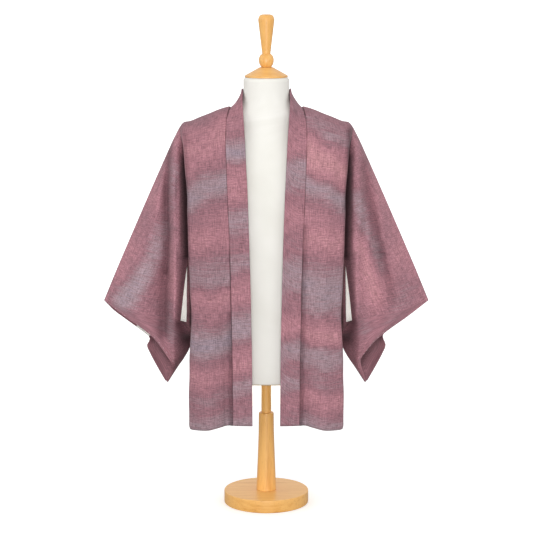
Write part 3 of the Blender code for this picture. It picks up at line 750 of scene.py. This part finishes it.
def tucked(points, normals, depths, reach=1.0):
    """Points past the first column that dive under the next piece of cloth."""
    along = unit(points[:, 0] - points[:, 1]) * np.reshape(reach, (-1, 1))
    extra = [points[:, 0] + along * out - normals[:, 0] * depth for out, depth in depths]
    return np.concatenate((np.stack(extra, axis=1), points), axis=1)


def grid_of(points, cut=None, flip=False, **marks):
    """A grid laid at the points, with its own cut and the marks that its cloth reads."""
    rows, columns = points.shape[:2]
    if cut is None:
        cut = np.stack((run_across(points), run_along(points)), axis=-1)
    grid = bmesh.new()
    bmesh.ops.create_grid(grid, x_segments=columns - 1, y_segments=rows - 1, size=1.0)
    uv = grid.loops.layers.uv.new("cut")
    layers = [(grid.verts.layers.float.new(name), values) for name, values in marks.items()]
    where = {}
    for vert in grid.verts:
        i = round((vert.co.x + 1) / 2 * (columns - 1))
        j = round((vert.co.y + 1) / 2 * (rows - 1))
        where[vert] = (j, i)
        vert.co = points[j, i]
        for layer, values in layers:
            vert[layer] = values[j, i]
    for face in grid.faces:
        for loop in face.loops:
            loop[uv].uv = cut[where[loop.vert]]
    if flip:
        bmesh.ops.reverse_faces(grid, faces=grid.faces)
    return grid


def mesh_of(name, form):
    mesh = bpy.data.meshes.new(name)
    form.to_mesh(mesh)
    form.free()
    return mesh


def linked(name, data, collection=None):
    thing = bpy.data.objects.new(name, data)
    (collection or bpy.context.scene.collection).objects.link(thing)
    return thing


def finish(name, form, kinds, node_names):
    """Links the piece, gives it its materials and hides the parts that it stands for."""
    piece = linked(name, mesh_of(name, form), FINISHED)
    for kind in kinds:
        piece.data.materials.append(MATERIALS[kind])
    piece.data.shade_smooth()
    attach(piece, "root")
    if node_names:
        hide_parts(*node_names)
    return piece


def finish_sheet(name, grid, wall, kinds, node_names=()):
    """Gives the sheet its wall inwards. The second kind of cloth, if any, faces inwards."""
    piece = finish(name, grid, kinds, node_names)
    solid = piece.modifiers.new("wall", "SOLIDIFY")
    solid.thickness = wall
    solid.offset = -1.0
    solid.use_even_offset = False
    solid.material_offset = len(kinds) - 1
    return piece


def finish_cloth(name, grid):
    return finish_sheet(f"{name}_cloth", grid, WALL, ("cloth", "inside"), (name,))


# ---- the jacket ----------------------------------------------------------------------


@functools.cache
def smooth_panel():
    """The body panel's stations, and its points before anything is pressed into it."""
    middle = lambda station: whole_panel_point(station, 0.5)
    last = CREST + len(PANELS["back"]) - 1
    stations = even_places(middle, last, (CREST, CREST + NECK_CORNER))
    return stations, lay_out(lambda a, b: whole_panel_point(b, a), spaced(*BODY_STEPS), stations)


def make_body(hand):
    side = SIDES[hand]
    stations, points = smooth_panel()
    normals = normals_of(points)
    behind = (stations > CREST)[:, None]
    pressed = [creased(lines[hand], points) for lines in (BACK_CREASES, BODY_CREASES)]
    run, hem = run_across(points), from_ends(points)
    amount = np.where(behind, *pressed) + rippled(points, "body")
    amount = amount * calmed(from_sides(run), "body") + rolled_sides(run)
    amount += HEM_SWELL * np.exp(-(((hem - HEM_TURN) / HEM_SPREAD) ** 2)) + rolled(hem, WALL)
    points = points + normals * amount[..., None]
    points = tucked(points, normals, TUCK, stations < CREST + NECK_CORNER)
    wider = lambda values, fill: np.concatenate((fill.repeat(len(TUCK), axis=1), values), axis=1)
    across = wider(run, np.zeros_like(run[:, :1])) + CUT_START
    along = run_along(points)[:, CUT_COLUMN, None].repeat(across.shape[1], axis=1)
    back_shade = body_shade("back", points, BACK_SLOPES[hand])
    marks = {
        "shade": np.where(behind, back_shade, body_shade(hand, points)),
        "pale": (wider(hem, hem[:, :1]) > FACING).astype(float),
        # Painted shade along edges and seams, plus painted light and shade over the whole piece.
        "deep": np.where(behind, 0.0, painted_shade_lines(BODY_PAINTED_SHADE[hand], points)) + PAINTED_LIGHT_TONES[hand],
    }
    cut = np.stack((across, along), axis=-1)
    return finish_cloth(f"body_{hand}", grid_of(mirrored(points, side), cut, side < 0, **marks))


def make_collar():
    half = even_places(lambda s: collar_point(s, 0.5), len(COLLAR_EDGE) - 1)
    stations = np.concatenate((-half[:0:-1], half))
    points = lay_out(lambda a, b: collar_point(b, a), spaced(*COLLAR_STEPS), stations)
    run = run_across(points)
    amount = rippled(points, "collar") * calmed(from_sides(run), "collar")
    amount += rolled_sides(run, COLLAR_WALL / 2) + rolled(from_ends(points), WALL)
    for hand, side in SIDES.items():
        here = (np.sign(stations) == side)[:, None]
        amount += here * creased(COLLAR_CREASES[hand], np.abs(points))
    points = points - normals_of(points) * amount[..., None]
    height = points[..., 2] + waved(COLLAR_WAVES, points)
    shades = [shade_at(COLLAR_BANDS[hand], height) for hand in SIDES]
    grid = grid_of(points, flip=True, shade=np.where(points[..., 0] < 0, *shades))
    return finish_sheet("collar_cloth", grid, COLLAR_WALL, ("cloth",), ("collar",))


def make_gusset(hand):
    side = SIDES[hand]

    def place(share, height):
        gap = (0.0, 2 * SEAM_GAP, 0.0)
        front, back = edge_at("front", height) + gap, edge_at("back", height) - gap
        x, y, _ = front + share * (back - front)
        return (x - GUSSET_DRAWN_IN * math.sin(math.pi * share), y, height)

    heights = np.arange(HEM_HEIGHT, UNDERARM_HEIGHT, CLOTH_STEP)
    points = lay_out(place, spaced(*GUSSET_STEPS), heights)
    normals = normals_of(points)
    amount = rolled_sides(run_across(points)) + rippled(points, "gusset")
    amount += rolled(points[..., 2] - HEM_HEIGHT, WALL)
    points = points + normals * amount[..., None]
    points = tucked(points, normals, GUSSET_TUCK)
    points = tucked(points[:, ::-1], normals[:, ::-1], GUSSET_TUCK)[:, ::-1]
    shade = shade_at(BODY_BANDS["back"], points[..., 2] + BACK_BANDS_LOWER)
    pale = (points[..., 2] > HEM_HEIGHT + FACING).astype(float)
    grid = grid_of(mirrored(points, side), flip=side < 0, shade=shade, pale=pale)
    return finish_cloth(f"gusset_{hand}", grid)


@functools.cache
def sleeve_rows():
    middle = lambda row: sleeve_point("front", row, 0.5)
    return even_places(middle, LAST_ROW, (UNDERARM_ROW, CUFF_ROW, CORNER_ROW))


def sleeve_mesh():
    """The row and the column of each point of a layer."""
    return np.meshgrid(sleeve_rows(), SLEEVE_COLUMNS, indexing="ij")


@functools.cache
def smooth_layer(part):
    """One layer's points before anything is pressed into it."""
    points = lay_out(lambda a, b: sleeve_point(part, b, a), SLEEVE_COLUMNS, sleeve_rows())
    for _ in range(FOLD_EASE):
        points[:, 1:-1] = (points[:, :-2] + 2 * points[:, 1:-1] + points[:, 2:]) / 4
    return joined_to_shoulder(points, part)


def joined_to_shoulder(points, part):
    """The sleeve's top row moved onto the body's edge, and the rows below it less and less."""
    stations = SHOULDER_STATIONS if part == "back" else CREST - SHOULDER_STATIONS
    edge = np.array([panel_point(part, station, 1.0) for station in stations])
    places, reach = abs(edge[:, 1]), abs(points[0, :, 1])
    shift = np.zeros_like(points[0])
    for axis in (0, 2):
        shift[:, axis] = np.interp(reach, places, edge[:, axis]) - points[0, :, axis]
    fade = np.clip(1 - run_along(points) / SHOULDER_REACH, 0, 1)
    return points + fade[..., None] * shift


@functools.cache
def sleeve_layer(part, hand):
    """One layer's points and its shade. Its folds are pressed straight in from the front."""
    points = smooth_layer(part)
    if (hand, part) in CUFF_HANGS:
        rows, columns = sleeve_mesh()
        rise = np.interp(rows, *zip(*CUFF_HANGS[hand, part])) * (1 - columns) ** 2
        points = points + rise[..., None] * (0.0, 0.0, 1.0)
    amount = creased(SLEEVE_CREASES[looks_of(part, hand)], points) + rippled(points, "sleeve")
    amount *= calmed(from_sides(run_across(points)), "sleeve")
    amount *= calmed(run_along(points[::-1])[::-1], "cuff")
    shade = patched(SLEEVE_PATCHES[looks_of(part, hand)], points)
    return points + amount[..., None] * (0.0, OUTWARDS[part], 0.0), shade


def looks_of(part, hand):
    """The hand whose folds and patches the layer has: behind, each sleeve has the other's."""
    return hand if part == "front" else OTHER[hand]


def make_sleeve(hand):
    side = SIDES[hand]
    whole = bmesh.new()
    for part, outwards in OUTWARDS.items():
        points, shade = sleeve_layer(part, hand)
        # Painted shade in the folds, plus painted light over the whole sleeve.
        deep = painted_shade_lines(SLEEVE_PAINTED_SHADE[looks_of(part, hand)], points) + PAINTED_LIGHT_TONES["sleeve"]
        # Behind, painted shade in the cuff as well, and painted light below the open edge.
        if part == "back":
            deep += painted_shade_lines(CUFF_PAINTED_LIGHT_AND_SHADE, points)
        marks = {"shade": shade, "pale": cuff_lining(part, hand), "deep": deep}
        layer = mesh_of("layer", grid_of(mirrored(points, side), flip=side == outwards, **marks))
        whole.from_mesh(layer)
        bpy.data.meshes.remove(layer)
    bmesh.ops.remove_doubles(whole, verts=whole.verts, dist=MERGE)
    return finish_cloth(f"sleeve_{hand}", whole)


def cuff_lining(part, hand):
    """Where the lining shows inside the cuff: only the right sleeve's falls open there.

    More than a half is lining. It changes evenly, so the lining's edge comes out smooth.
    """
    rows, columns = sleeve_mesh()
    if (hand, part) != ("right", "back"):
        return np.zeros_like(rows)
    (first, _), *_, (last, _) = CUFF_LINING_EDGE
    inside = (np.interp(rows, *zip(*CUFF_LINING_EDGE)) - columns) * CUFF_COLUMN_PACE
    past_hem = np.maximum((columns - CUFF_LINING_BARE) * CUFF_COLUMN_PACE, rows - CUFF_BARE_ROW)
    shows = np.minimum.reduce((inside, past_hem, rows - first, last - rows))
    return np.clip(0.5 + shows, 0, 1)


def make_cuff_stitches(hand):
    """The small hand stitches that show along the hem of the cuff, on the front layer."""
    points, _ = sleeve_layer("front", hand)
    run, rows = run_across(points), sleeve_rows()
    stitches = bmesh.new()
    out = Vector((0.0, -1.0, 0.0))
    for row in np.flatnonzero((STITCH_ROWS[0] < rows) & (rows < STITCH_ROWS[1]))[::STITCH_EVERY]:
        column = np.argmin(abs(run[row] - STITCH_IN))
        start, end = (Vector(mirrored(points[r, column], SIDES[hand])) for r in (row, row + 1))
        way = (end - start).normalized()
        across = way.cross(out).normalized()
        turn = Matrix((way, across, way.cross(across))).transposed().to_4x4()
        size = Matrix.Diagonal((*STITCH_SIZE, 1.0))
        place = Matrix.Translation(start + out * STITCH_SIZE[2] / 2) @ turn @ size
        bmesh.ops.create_cube(stitches, size=1.0, matrix=place)
    return finish(f"cuff_stitches_{hand}", stitches, ("thread",), ())


def make_sleeve_lining(hand, part):
    side, outwards = SIDES[hand], OUTWARDS[part]
    points, _ = sleeve_layer(part, hand)
    points = points + normals_of(points) * (WALL + LINING_GAP) * outwards
    rows, columns = sleeve_rows(), SLEEVE_COLUMNS
    (top, bottom), (cuff_end, inner_end) = LINING_ROWS[part], LINING_COLUMNS[part]
    points = points[(top <= rows) & (rows <= bottom)]
    points = points[:, (cuff_end <= columns) & (columns <= inner_end)]
    name = f"sleeve_lining_{part}_{hand}"
    grid = grid_of(mirrored(points, side), flip=side == outwards)
    return finish_sheet(f"{name}_silk", grid, LINING_WALL, ("lining",), (name,))


def make_back_lining():
    place = lambda share, station: panel_point("back", station, share)
    points = lay_out(place, BACK_LINING_SHARES, BACK_LINING_STATIONS)
    sunk = WALL + BACK_LINING_GAP - rippled(points, "lining")
    points = points - normals_of(points) * sunk[..., None]
    points[:, 0, 0] = 0.0
    grid = grid_of(np.concatenate((mirrored(points[:, :0:-1], -1.0), points), axis=1))
    name = "back_lining"
    return finish_sheet(f"{name}_silk", grid, LINING_WALL, (name,), (name,))


def seam_strip(name, points, shade, wall, side=1.0, flip=False):
    """A strip of seam allowance at the bottom of a seam, darkened all over with painted shade."""
    deep = np.full(shade.shape, SEAM_PAINTED_SHADE)
    grid = grid_of(mirrored(points, side), flip=flip, shade=shade, deep=deep)
    return finish_sheet(name, grid, wall, ("cloth",))


def make_armhole_seam(hand, part):
    side, outwards = SIDES[hand], OUTWARDS[part]
    place = lambda out, height: edge_at(part, height) + (out, -outwards * SEAM_DEPTH, 0.0)
    heights = np.arange(UNDERARM_HEIGHT + STRIP_START, ARMHOLE_TOP, CLOTH_STEP)
    points = lay_out(place, ARMHOLE_STRIP, heights)
    name = f"armhole_seam_{part}_{hand}"
    return seam_strip(name, points, body_shade(hand, points), STRIP_WALL, side, side == outwards)


def make_centre_seam():
    place = lambda out, station: (out, *(panel_point("back", station, 0.0)[1:] - (SEAM_DEPTH, 0)))
    ends = NECK_CORNER + CENTRE_ENDS, len(PANELS["back"]) - 1 - CENTRE_ENDS
    points = lay_out(place, CENTRE_STRIP, np.linspace(*ends, CENTRE_ROWS))
    shade = body_shade("back", points, BACK_SLOPES["right"])
    return seam_strip("centre_seam_back", points, shade, CENTRE_STRIP_WALL)


# ---- the form and its stand ----------------------------------------------------------


def torso_points(heights, swells):
    """Rings round the torso, one at each height, moved outwards by its own swell."""
    angles = np.linspace(0, 2 * math.pi, TORSO_SIDES + 1)
    c, s = np.cos(angles), np.sin(angles)
    rings = []
    for z, swell in zip(heights, swells):
        ring = through_places(TORSO_SECTIONS[:, 0], TORSO_SECTIONS[:, 1:], z)
        half_width, half_depth, middle_depth, squareness = ring
        x = half_width * np.copysign(abs(c) ** (2 / squareness), c)
        depth = half_depth + np.exp(-((x / THROAT_WIDTH) ** 2)) * (middle_depth - half_depth)
        y = depth * np.copysign(abs(s) ** (2 / squareness), s)
        flat = np.stack((x, y), axis=-1)
        rings.append(np.column_stack((flat + unit(flat) * swell, np.full(len(x), z))))
    return np.array(rings)


def make_torso():
    """The padded torso: a lofted ring surface, closed at the top and turned in below."""
    low, high = TORSO_SECTIONS[(0, -1), 0]
    rest = np.linspace(low + TORSO_EDGE_END, high, TORSO_RINGS)
    heights = np.concatenate((low + TORSO_EDGE, rest))
    sunk = rolled(heights - low, TORSO_ROUND) + rolled(high - heights, TORSO_ROUND)
    points = torso_points(heights, sunk)
    under = points[0] * TURNED_UNDER + TURNED_UP
    form = grid_of(np.concatenate((under[None], points), axis=0))
    bmesh.ops.remove_doubles(form, verts=form.verts, dist=MERGE)
    bmesh.ops.holes_fill(form, edges=[e for e in form.edges if e.is_boundary], sides=0)
    bmesh.ops.recalc_face_normals(form, faces=form.faces)
    return finish("torso_jersey", form, ("jersey",), ("torso",))


def make_torso_tape():
    """The narrow tape round the torso's bottom edge."""
    swells = TAPE_PROUD * np.sin(np.linspace(0, math.pi, len(TAPE_HEIGHTS))) + TAPE_CLEAR
    swells += rolled(TAPE_HEIGHTS, TORSO_ROUND)
    tape = grid_of(torso_points(TORSO_SECTIONS[0, 0] + TAPE_HEIGHTS, swells))
    bmesh.ops.remove_doubles(tape, verts=tape.verts, dist=MERGE)
    return finish_sheet("torso_tape", tape, TAPE_WALL, ("tape",))


def rounded_profile(rows):
    """The profile with each corner turned by its own radius."""
    places, radii = rows[:, :2], rows[:, 2]
    points = []
    for i, (here, radius) in enumerate(zip(places, radii)):
        if radius == 0:
            points.append(here)
            continue
        start, end = (here + unit(places[j] - here) * radius for j in (i - 1, i + 1))
        for t in np.linspace(0, 1, CORNER_STEPS + 1):
            points.append((1 - t) ** 2 * start + 2 * t * (1 - t) * here + t * t * end)
    return points


def smooth_profile(rows):
    count = len(rows) - 1
    return [through(rows, t) for t in np.linspace(0, count, count * PROFILE_STEPS + 1)]


def make_turned(name, profile, kind="stick"):
    """A turned piece: its profile spun round the middle line."""
    turned = bmesh.new()
    verts = [turned.verts.new((max(x, 0.0), 0.0, z)) for x, z in profile]
    edges = [turned.edges.new(pair) for pair in zip(verts, verts[1:])]
    bmesh.ops.spin(
        turned,
        geom=verts + edges,
        cent=(0, 0, 0),
        axis=(0, 0, 1),
        angle=2 * math.pi,
        steps=TURNED_STEPS,
        use_merge=True,
    )
    bmesh.ops.remove_doubles(turned, verts=turned.verts, dist=2 * MERGE)
    bmesh.ops.recalc_face_normals(turned, faces=turned.faces)
    piece = finish(f"{name}_wood", turned, (kind,), (name,))
    piece.data.set_sharp_from_angle(angle=math.radians(SHARP_ANGLE))


# ---- materials -----------------------------------------------------------------------


def srgb(*levels):
    """A colour given in the 0 to 255 levels of a screen."""
    shares = [level / 255 for level in levels]
    return (*[s / 12.92 if s <= 0.04045 else ((s + 0.055) / 1.055) ** 2.4 for s in shares], 1.0)


WHITE = (1.0, 1.0, 1.0, 1.0)
CLOTH_SHADES = (
    (0.00, srgb(146, 131, 143)),
    (0.25, srgb(155, 131, 138)),
    (0.50, srgb(146, 105, 114)),
    (0.75, srgb(169, 119, 128)),
    (1.00, srgb(182, 132, 137)),
)
# The dye's mottle and streaks: how fine across and along, how detailed and how strong.
DYE_NOISES = (((10, 26, 1), 3.0, 0.34), ((18, 260, 1), 2.0, 0.50))
DYE_ROUGHNESS = 0.6
# The weave's uneven threads and fleck: how fine across and along, and how strong each is.
WEAVE_NOISES = (((80, 420, 1), 0.95), ((420, 45, 1), 0.90), ((380, 400, 1), 0.70))
WEAVE_BASE = -0.275
CLOTH_SHEEN = {"Sheen_Weight": 0.08, "Sheen_Roughness": 0.5, "Specular_IOR_Level": 0.15}
# The darkest colour that painted shade brings the cloth to.
PAINTED_SHADE_DARKEST = (0.06, 0.0, 0.02, 1.0)
# Painted shade over the whole inner side of the cloth.
INSIDE_PAINTED_SHADE = (0.60, 0.55, 0.57, 1.0)
LINING_SHADES = ((0.3, srgb(234, 233, 227)), (0.7, srgb(245, 244, 240)))
# The silk linings glow with painted light, as if lit from behind: less inside a narrow sleeve.
SLEEVE_SILK_PAINTED_LIGHT, BACK_SILK_PAINTED_LIGHT = 0.30, 0.95
JERSEY_SHADES = ((0.3, srgb(231, 229, 221)), (0.7, srgb(240, 238, 232)))
TAPE_SHADES = ((0.2, srgb(186, 170, 140)), (0.8, srgb(206, 192, 164)))
BEECH_SHADES = (
    (0.30, srgb(204, 138, 64)),
    (0.45, srgb(232, 170, 88)),
    (0.60, srgb(242, 186, 106)),
    (0.78, srgb(218, 154, 76)),
)
BEECH_FLECK = srgb(184, 118, 54)
THREAD = srgb(205, 170, 178)
VARNISH = {"Coat_Weight": 0.35, "Coat_Roughness": 0.25}
GRAIN_STRETCH, GRAIN_SHARE = 0.06, 0.55
# From where to where the pattern is read, and what it becomes there.
BEECH_SPOTS, BEECH_ROUGHNESS = (0.62, 0.72, 0.0, 0.35), (0.3, 0.7, 0.34, 0.46)


class Nodes:
    """The nodes of a material or world, added and joined one at a time."""

    def __init__(self, owner):
        self.owner = owner
        owner.use_nodes = True
        self.tree = owner.node_tree

    def put(self, socket, value):
        if isinstance(value, bpy.types.NodeSocket):
            self.tree.links.new(value, socket)
        else:
            socket.default_value = value

    def add(self, kind, inputs=None, output=0, **settings):
        node = self.tree.nodes.new(f"ShaderNode{kind}")
        for name, value in settings.items():
            setattr(node, name, value)
        for name, value in (inputs or {}).items():
            self.put(node.inputs[name], value)
        return node.outputs[output]

    def maths(self, operation, *values):
        return self.add("Math", dict(enumerate(values)), operation=operation)

    def mix(self, share, first, second, blend="MIX"):
        inputs = {0: share, 6: first, 7: second}
        kind = {"data_type": "RGBA", "blend_type": blend, "clamp_factor": False}
        return self.add("Mix", inputs, 2, **kind)

    def mark(self, name):
        return self.add("Attribute", output=2, attribute_name=name)

    def noise(self, source, stretch, detail=2.0, roughness=0.5):
        place = self.add("VectorMath", {0: source, 1: stretch}, operation="MULTIPLY")
        inputs = {"Vector": place, "Scale": 1.0, "Detail": detail, "Roughness": roughness}
        return self.add("TexNoise", inputs)

    def ramp(self, value, stops):
        colour = self.add("ValToRGB", {0: value})
        elements = colour.node.color_ramp.elements
        while len(elements) < len(stops):
            elements.new(1.0)
        for element, (place, shade) in zip(elements, stops):
            element.position = place
            element.color = shade
        return colour

    def fit(self, value, *ranges):
        return self.add("MapRange", dict(enumerate((value, *ranges))))

    def bump(self, height, distance, strength, **normal):
        inputs = {"Height": height, "Distance": distance, "Strength": strength, **normal}
        return self.add("Bump", inputs)

    def finish(self, **inputs):
        """Sets the shader's own inputs. An underscore stands for a space."""
        shader = self.tree.nodes["Principled BSDF"]
        for name, value in inputs.items():
            self.put(shader.inputs[name.replace("_", " ")], value)
        return self.owner


def material_nodes(name, kind="UVMap", output=0, **settings):
    """A new material's nodes, and the places that its pattern is read at."""
    nodes = Nodes(bpy.data.materials.new(name))
    return nodes, nodes.add(kind, output=output, **settings)


def on_cloth(name):
    return material_nodes(name, uv_map="cut")


def on_object(name):
    return material_nodes(name, "TexCoord", 3)


def threads(nodes, cut, pitch):
    """The height of a plain weave of that pitch, from 0 to 1, over and under in turn."""
    split = nodes.add("SeparateXYZ", {0: cut}).node
    turns = [nodes.maths("MULTIPLY", split.outputs[i], math.pi / pitch) for i in (0, 1)]
    across, along = (nodes.maths("SINE", turn) for turn in turns)
    return nodes.maths("MULTIPLY_ADD", nodes.maths("MULTIPLY", across, along), 0.5, 0.5)


def cloth_colour(nodes, cut):
    """Soft weft bands, uneven threads, a fine fleck and painted light and shade, as one colour.
    """
    shift = nodes.mark("shade")
    for stretch, detail, share in DYE_NOISES:
        uneven = nodes.maths("SUBTRACT", nodes.noise(cut, stretch, detail, DYE_ROUGHNESS), 0.5)
        shift = nodes.maths("MULTIPLY_ADD", uneven, share, shift)
    level = WEAVE_BASE
    for stretch, share in WEAVE_NOISES:
        level = nodes.maths("MULTIPLY_ADD", nodes.noise(cut, stretch, 1.0), share, level)
    grey = nodes.add("CombineColor", {0: level, 1: level, 2: level})
    # Painted light and shade, read from its mark.
    painted_shade_colour = nodes.mix(nodes.mark("deep"), WHITE, PAINTED_SHADE_DARKEST)
    dyed = nodes.mix(1.0, nodes.ramp(shift, CLOTH_SHADES), painted_shade_colour, "MULTIPLY")
    return nodes.mix(1.0, dyed, grey, "MULTIPLY")


def cloth_bump(nodes, cut, pitch, slub):
    weave = nodes.bump(threads(nodes, cut, pitch), distance=0.00012, strength=0.6)
    lumps = nodes.noise(cut, (90, 480, 1))
    return nodes.bump(lumps, distance=slub, strength=0.8, Normal=weave)


def cloth_material():
    nodes, cut = on_cloth("slubbed_silk")
    normal = cloth_bump(nodes, cut, pitch=0.0008, slub=0.0004)
    colour = cloth_colour(nodes, cut)
    return nodes.finish(Base_Color=colour, Roughness=0.82, Normal=normal, **CLOTH_SHEEN)


def silk_colour(nodes, cut):
    """Off-white with a faint unevenness."""
    return nodes.ramp(nodes.noise(cut, (14, 20, 1), detail=3.0), LINING_SHADES)


def lining_material(name, share):
    nodes, cut = on_cloth(name)
    colour = silk_colour(nodes, cut)
    normal = cloth_bump(nodes, cut, pitch=0.0005, slub=0.0002)
    # The emission is painted light: the silk glows though no lamp is behind it.
    glow = {"Emission_Color": colour, "Emission_Strength": share, "Sheen_Weight": 0.1}
    return nodes.finish(Base_Color=colour, Roughness=0.6, Normal=normal, **glow)


def inside_material():
    """The inner side: the cloth's own turned-up edge in painted shade, and lining beyond it."""
    nodes, cut = on_cloth("inner_side")
    is_lining = nodes.maths("GREATER_THAN", nodes.mark("pale"), 0.5)
    # The turned-up cloth, darkened with painted shade.
    turned_up = nodes.mix(1.0, cloth_colour(nodes, cut), INSIDE_PAINTED_SHADE, "MULTIPLY")
    colour = nodes.mix(is_lining, turned_up, silk_colour(nodes, cut))
    normal = cloth_bump(nodes, cut, pitch=0.0008, slub=0.0003)
    return nodes.finish(Base_Color=colour, Roughness=0.75, Normal=normal)


def jersey_material():
    """A fine off-white knit, stretched over padding."""
    nodes, cut = on_cloth("form_jersey")
    cloud = nodes.noise(cut, (9, 7, 1), detail=3.0)
    colour = nodes.ramp(cloud, JERSEY_SHADES)
    knit = nodes.bump(threads(nodes, cut, pitch=0.0011), distance=0.00015, strength=0.5)
    padding = nodes.bump(cloud, distance=0.0012, strength=0.5, Normal=knit)
    return nodes.finish(Base_Color=colour, Roughness=0.85, Normal=padding, Sheen_Weight=0.15)


def tape_material():
    nodes, cut = on_cloth("edge_tape")
    weave = threads(nodes, cut, pitch=0.0007)
    colour = nodes.ramp(weave, TAPE_SHADES)
    normal = nodes.bump(weave, distance=0.0001, strength=0.5)
    return nodes.finish(Base_Color=colour, Roughness=0.8, Normal=normal)


def thread_material():
    nodes, place = on_object("sewing_thread")
    twist = nodes.noise(place, (900, 900, 2500), detail=1.0)
    normal = nodes.bump(twist, distance=0.0002, strength=0.6)
    return nodes.finish(Base_Color=THREAD, Roughness=0.6, Normal=normal)


def beech_material(name, wide, long):
    """Straight grain with short dark flecks, under a thin clear varnish.

    Wide and long stretch the pattern sideways and up: the grain runs up a turned stick and
    across a disc that is cut from a plank.
    """
    nodes, place = on_object(name)
    noise = lambda fine, **looks: nodes.noise(place, (fine * wide, fine, fine * long), **looks)
    lines = nodes.maths("MULTIPLY", noise(130, detail=3.0, roughness=0.6), GRAIN_SHARE)
    grain = nodes.maths("MULTIPLY_ADD", noise(14), GRAIN_SHARE, lines)
    spots = nodes.fit(noise(800, detail=1.0), *BEECH_SPOTS)
    colour = nodes.mix(spots, nodes.ramp(grain, BEECH_SHADES), BEECH_FLECK)
    rough = nodes.fit(grain, *BEECH_ROUGHNESS)
    normal = nodes.bump(grain, distance=0.0003, strength=0.25)
    return nodes.finish(Base_Color=colour, Roughness=rough, Normal=normal, **VARNISH)


# ---- light, floor and camera ---------------------------------------------------------

CAMERA_DOWN = 9.8  # degrees below level
CAMERA_PLACE = (0.0, -4.306, 1.312)
CAMERA_LENS, CAMERA_SENSOR, CAMERA_REACH = 126.3, 36.0, 100.0
CAMERA_SHIFT = 0.2 / 533  # a fifth of a pixel, in widths of the picture
FLOOR_SIZE = 120.0
FLOOR_GLOW = (0.15, 3.0, 0.30, 0.64)  # near and far, and its strength at each
FLOOR_SEEN, FLOOR_THROWN_BACK = (0.90, 0.90, 0.90, 1.0), (0.45, 0.45, 0.45, 1.0)
WORLD_LIGHT, WORLD_SEEN = 0.86, 1.0  # what lights the object, and what stands behind it
LIGHTS = (
    ("front", (0.0, -4.6, 0.9), 1.8, 82.0),
    ("fill", (-4.4, -2.4, 2.0), 2.5, 26.0),
    ("key", (4.0, -3.4, 2.6), 2.5, 14.0),
)
LIGHTS_AIM = Vector((0.0, 0.0, 0.45))


def make_floor():
    grid = bmesh.new()
    bmesh.ops.create_grid(grid, x_segments=1, y_segments=1, size=FLOOR_SIZE)
    floor = linked("floor", mesh_of("floor", grid))
    nodes, place = on_object("floor_paint")
    seen = nodes.add("LightPath")
    away = nodes.add("VectorMath", {0: place}, 1, operation="LENGTH")
    glow = nodes.maths("MULTIPLY", seen, nodes.fit(away, *FLOOR_GLOW))
    colour = nodes.mix(seen, FLOOR_THROWN_BACK, FLOOR_SEEN)
    shine = {"Emission_Color": WHITE, "Emission_Strength": glow, "Specular_IOR_Level": 0.0}
    floor.data.materials.append(nodes.finish(Base_Color=colour, Roughness=1.0, **shine))


def make_light(name, place, size, watts):
    data = bpy.data.lights.new(name, "AREA")
    data.shape = "DISK"
    data.size = size
    data.energy = watts
    light = linked(name, data)
    light.location = place
    light.rotation_mode = "QUATERNION"
    light.rotation_quaternion = (LIGHTS_AIM - Vector(place)).to_track_quat("-Z", "Y")


def make_world():
    world = bpy.data.worlds.new("studio")
    nodes = Nodes(world)
    background = nodes.tree.nodes["Background"].inputs
    nodes.put(background["Color"], WHITE)
    strength = nodes.fit(nodes.add("LightPath"), 0.0, 1.0, WORLD_LIGHT, WORLD_SEEN)
    nodes.put(background["Strength"], strength)
    bpy.context.scene.world = world


def make_camera():
    data = bpy.data.cameras.new("camera")
    data.sensor_width = CAMERA_SENSOR
    data.lens = CAMERA_LENS
    data.shift_x = CAMERA_SHIFT
    data.clip_end = CAMERA_REACH
    camera = linked("camera", data)
    camera.location = CAMERA_PLACE
    camera.rotation_euler = (math.radians(90 - CAMERA_DOWN), 0.0, 0.0)
    bpy.context.scene.camera = camera


# ---- run -----------------------------------------------------------------------------

FINISHED = bpy.data.collections.new("haori on dress form")
bpy.context.scene.collection.children.link(FINISHED)
MATERIALS = {
    "cloth": cloth_material(),
    "inside": inside_material(),
    "lining": lining_material("sleeve_silk", SLEEVE_SILK_PAINTED_LIGHT),
    "back_lining": lining_material("back_silk", BACK_SILK_PAINTED_LIGHT),
    "jersey": jersey_material(),
    "tape": tape_material(),
    "thread": thread_material(),
    "stick": beech_material("beech_stick", 1.0, GRAIN_STRETCH),
    "disc": beech_material("beech_disc", GRAIN_STRETCH, 1.0),
}
bpy.context.scene.view_settings.view_transform = "Standard"
make_camera()
make_world()
make_floor()
for light in LIGHTS:
    make_light(*light)

make_turned("finial", smooth_profile(FINIAL_PROFILE))
make_turned("neck_cap", rounded_profile(CAP_PROFILE), "disc")
make_turned("pole", rounded_profile(POLE_PROFILE))
make_turned("post", rounded_profile(POST_PROFILE))
make_turned("base", rounded_profile(BASE_PROFILE), "disc")
torso = make_torso()
make_torso_tape()

collar = make_collar()
bodies = {hand: make_body(hand) for hand in SIDES}
gussets = {hand: make_gusset(hand) for hand in SIDES}
sleeves = {hand: make_sleeve(hand) for hand in SIDES}
back_lining = make_back_lining()
linings = {hand: [make_sleeve_lining(hand, part) for part in OUTWARDS] for hand in SIDES}
seams = {hand: [make_armhole_seam(hand, part) for part in OUTWARDS] for hand in SIDES}
seams["right"].append(make_centre_seam())

for hand in SIDES:
    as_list(seams[hand])
    stitches = [make_cuff_stitches(hand)]
    for lining in linings[hand]:
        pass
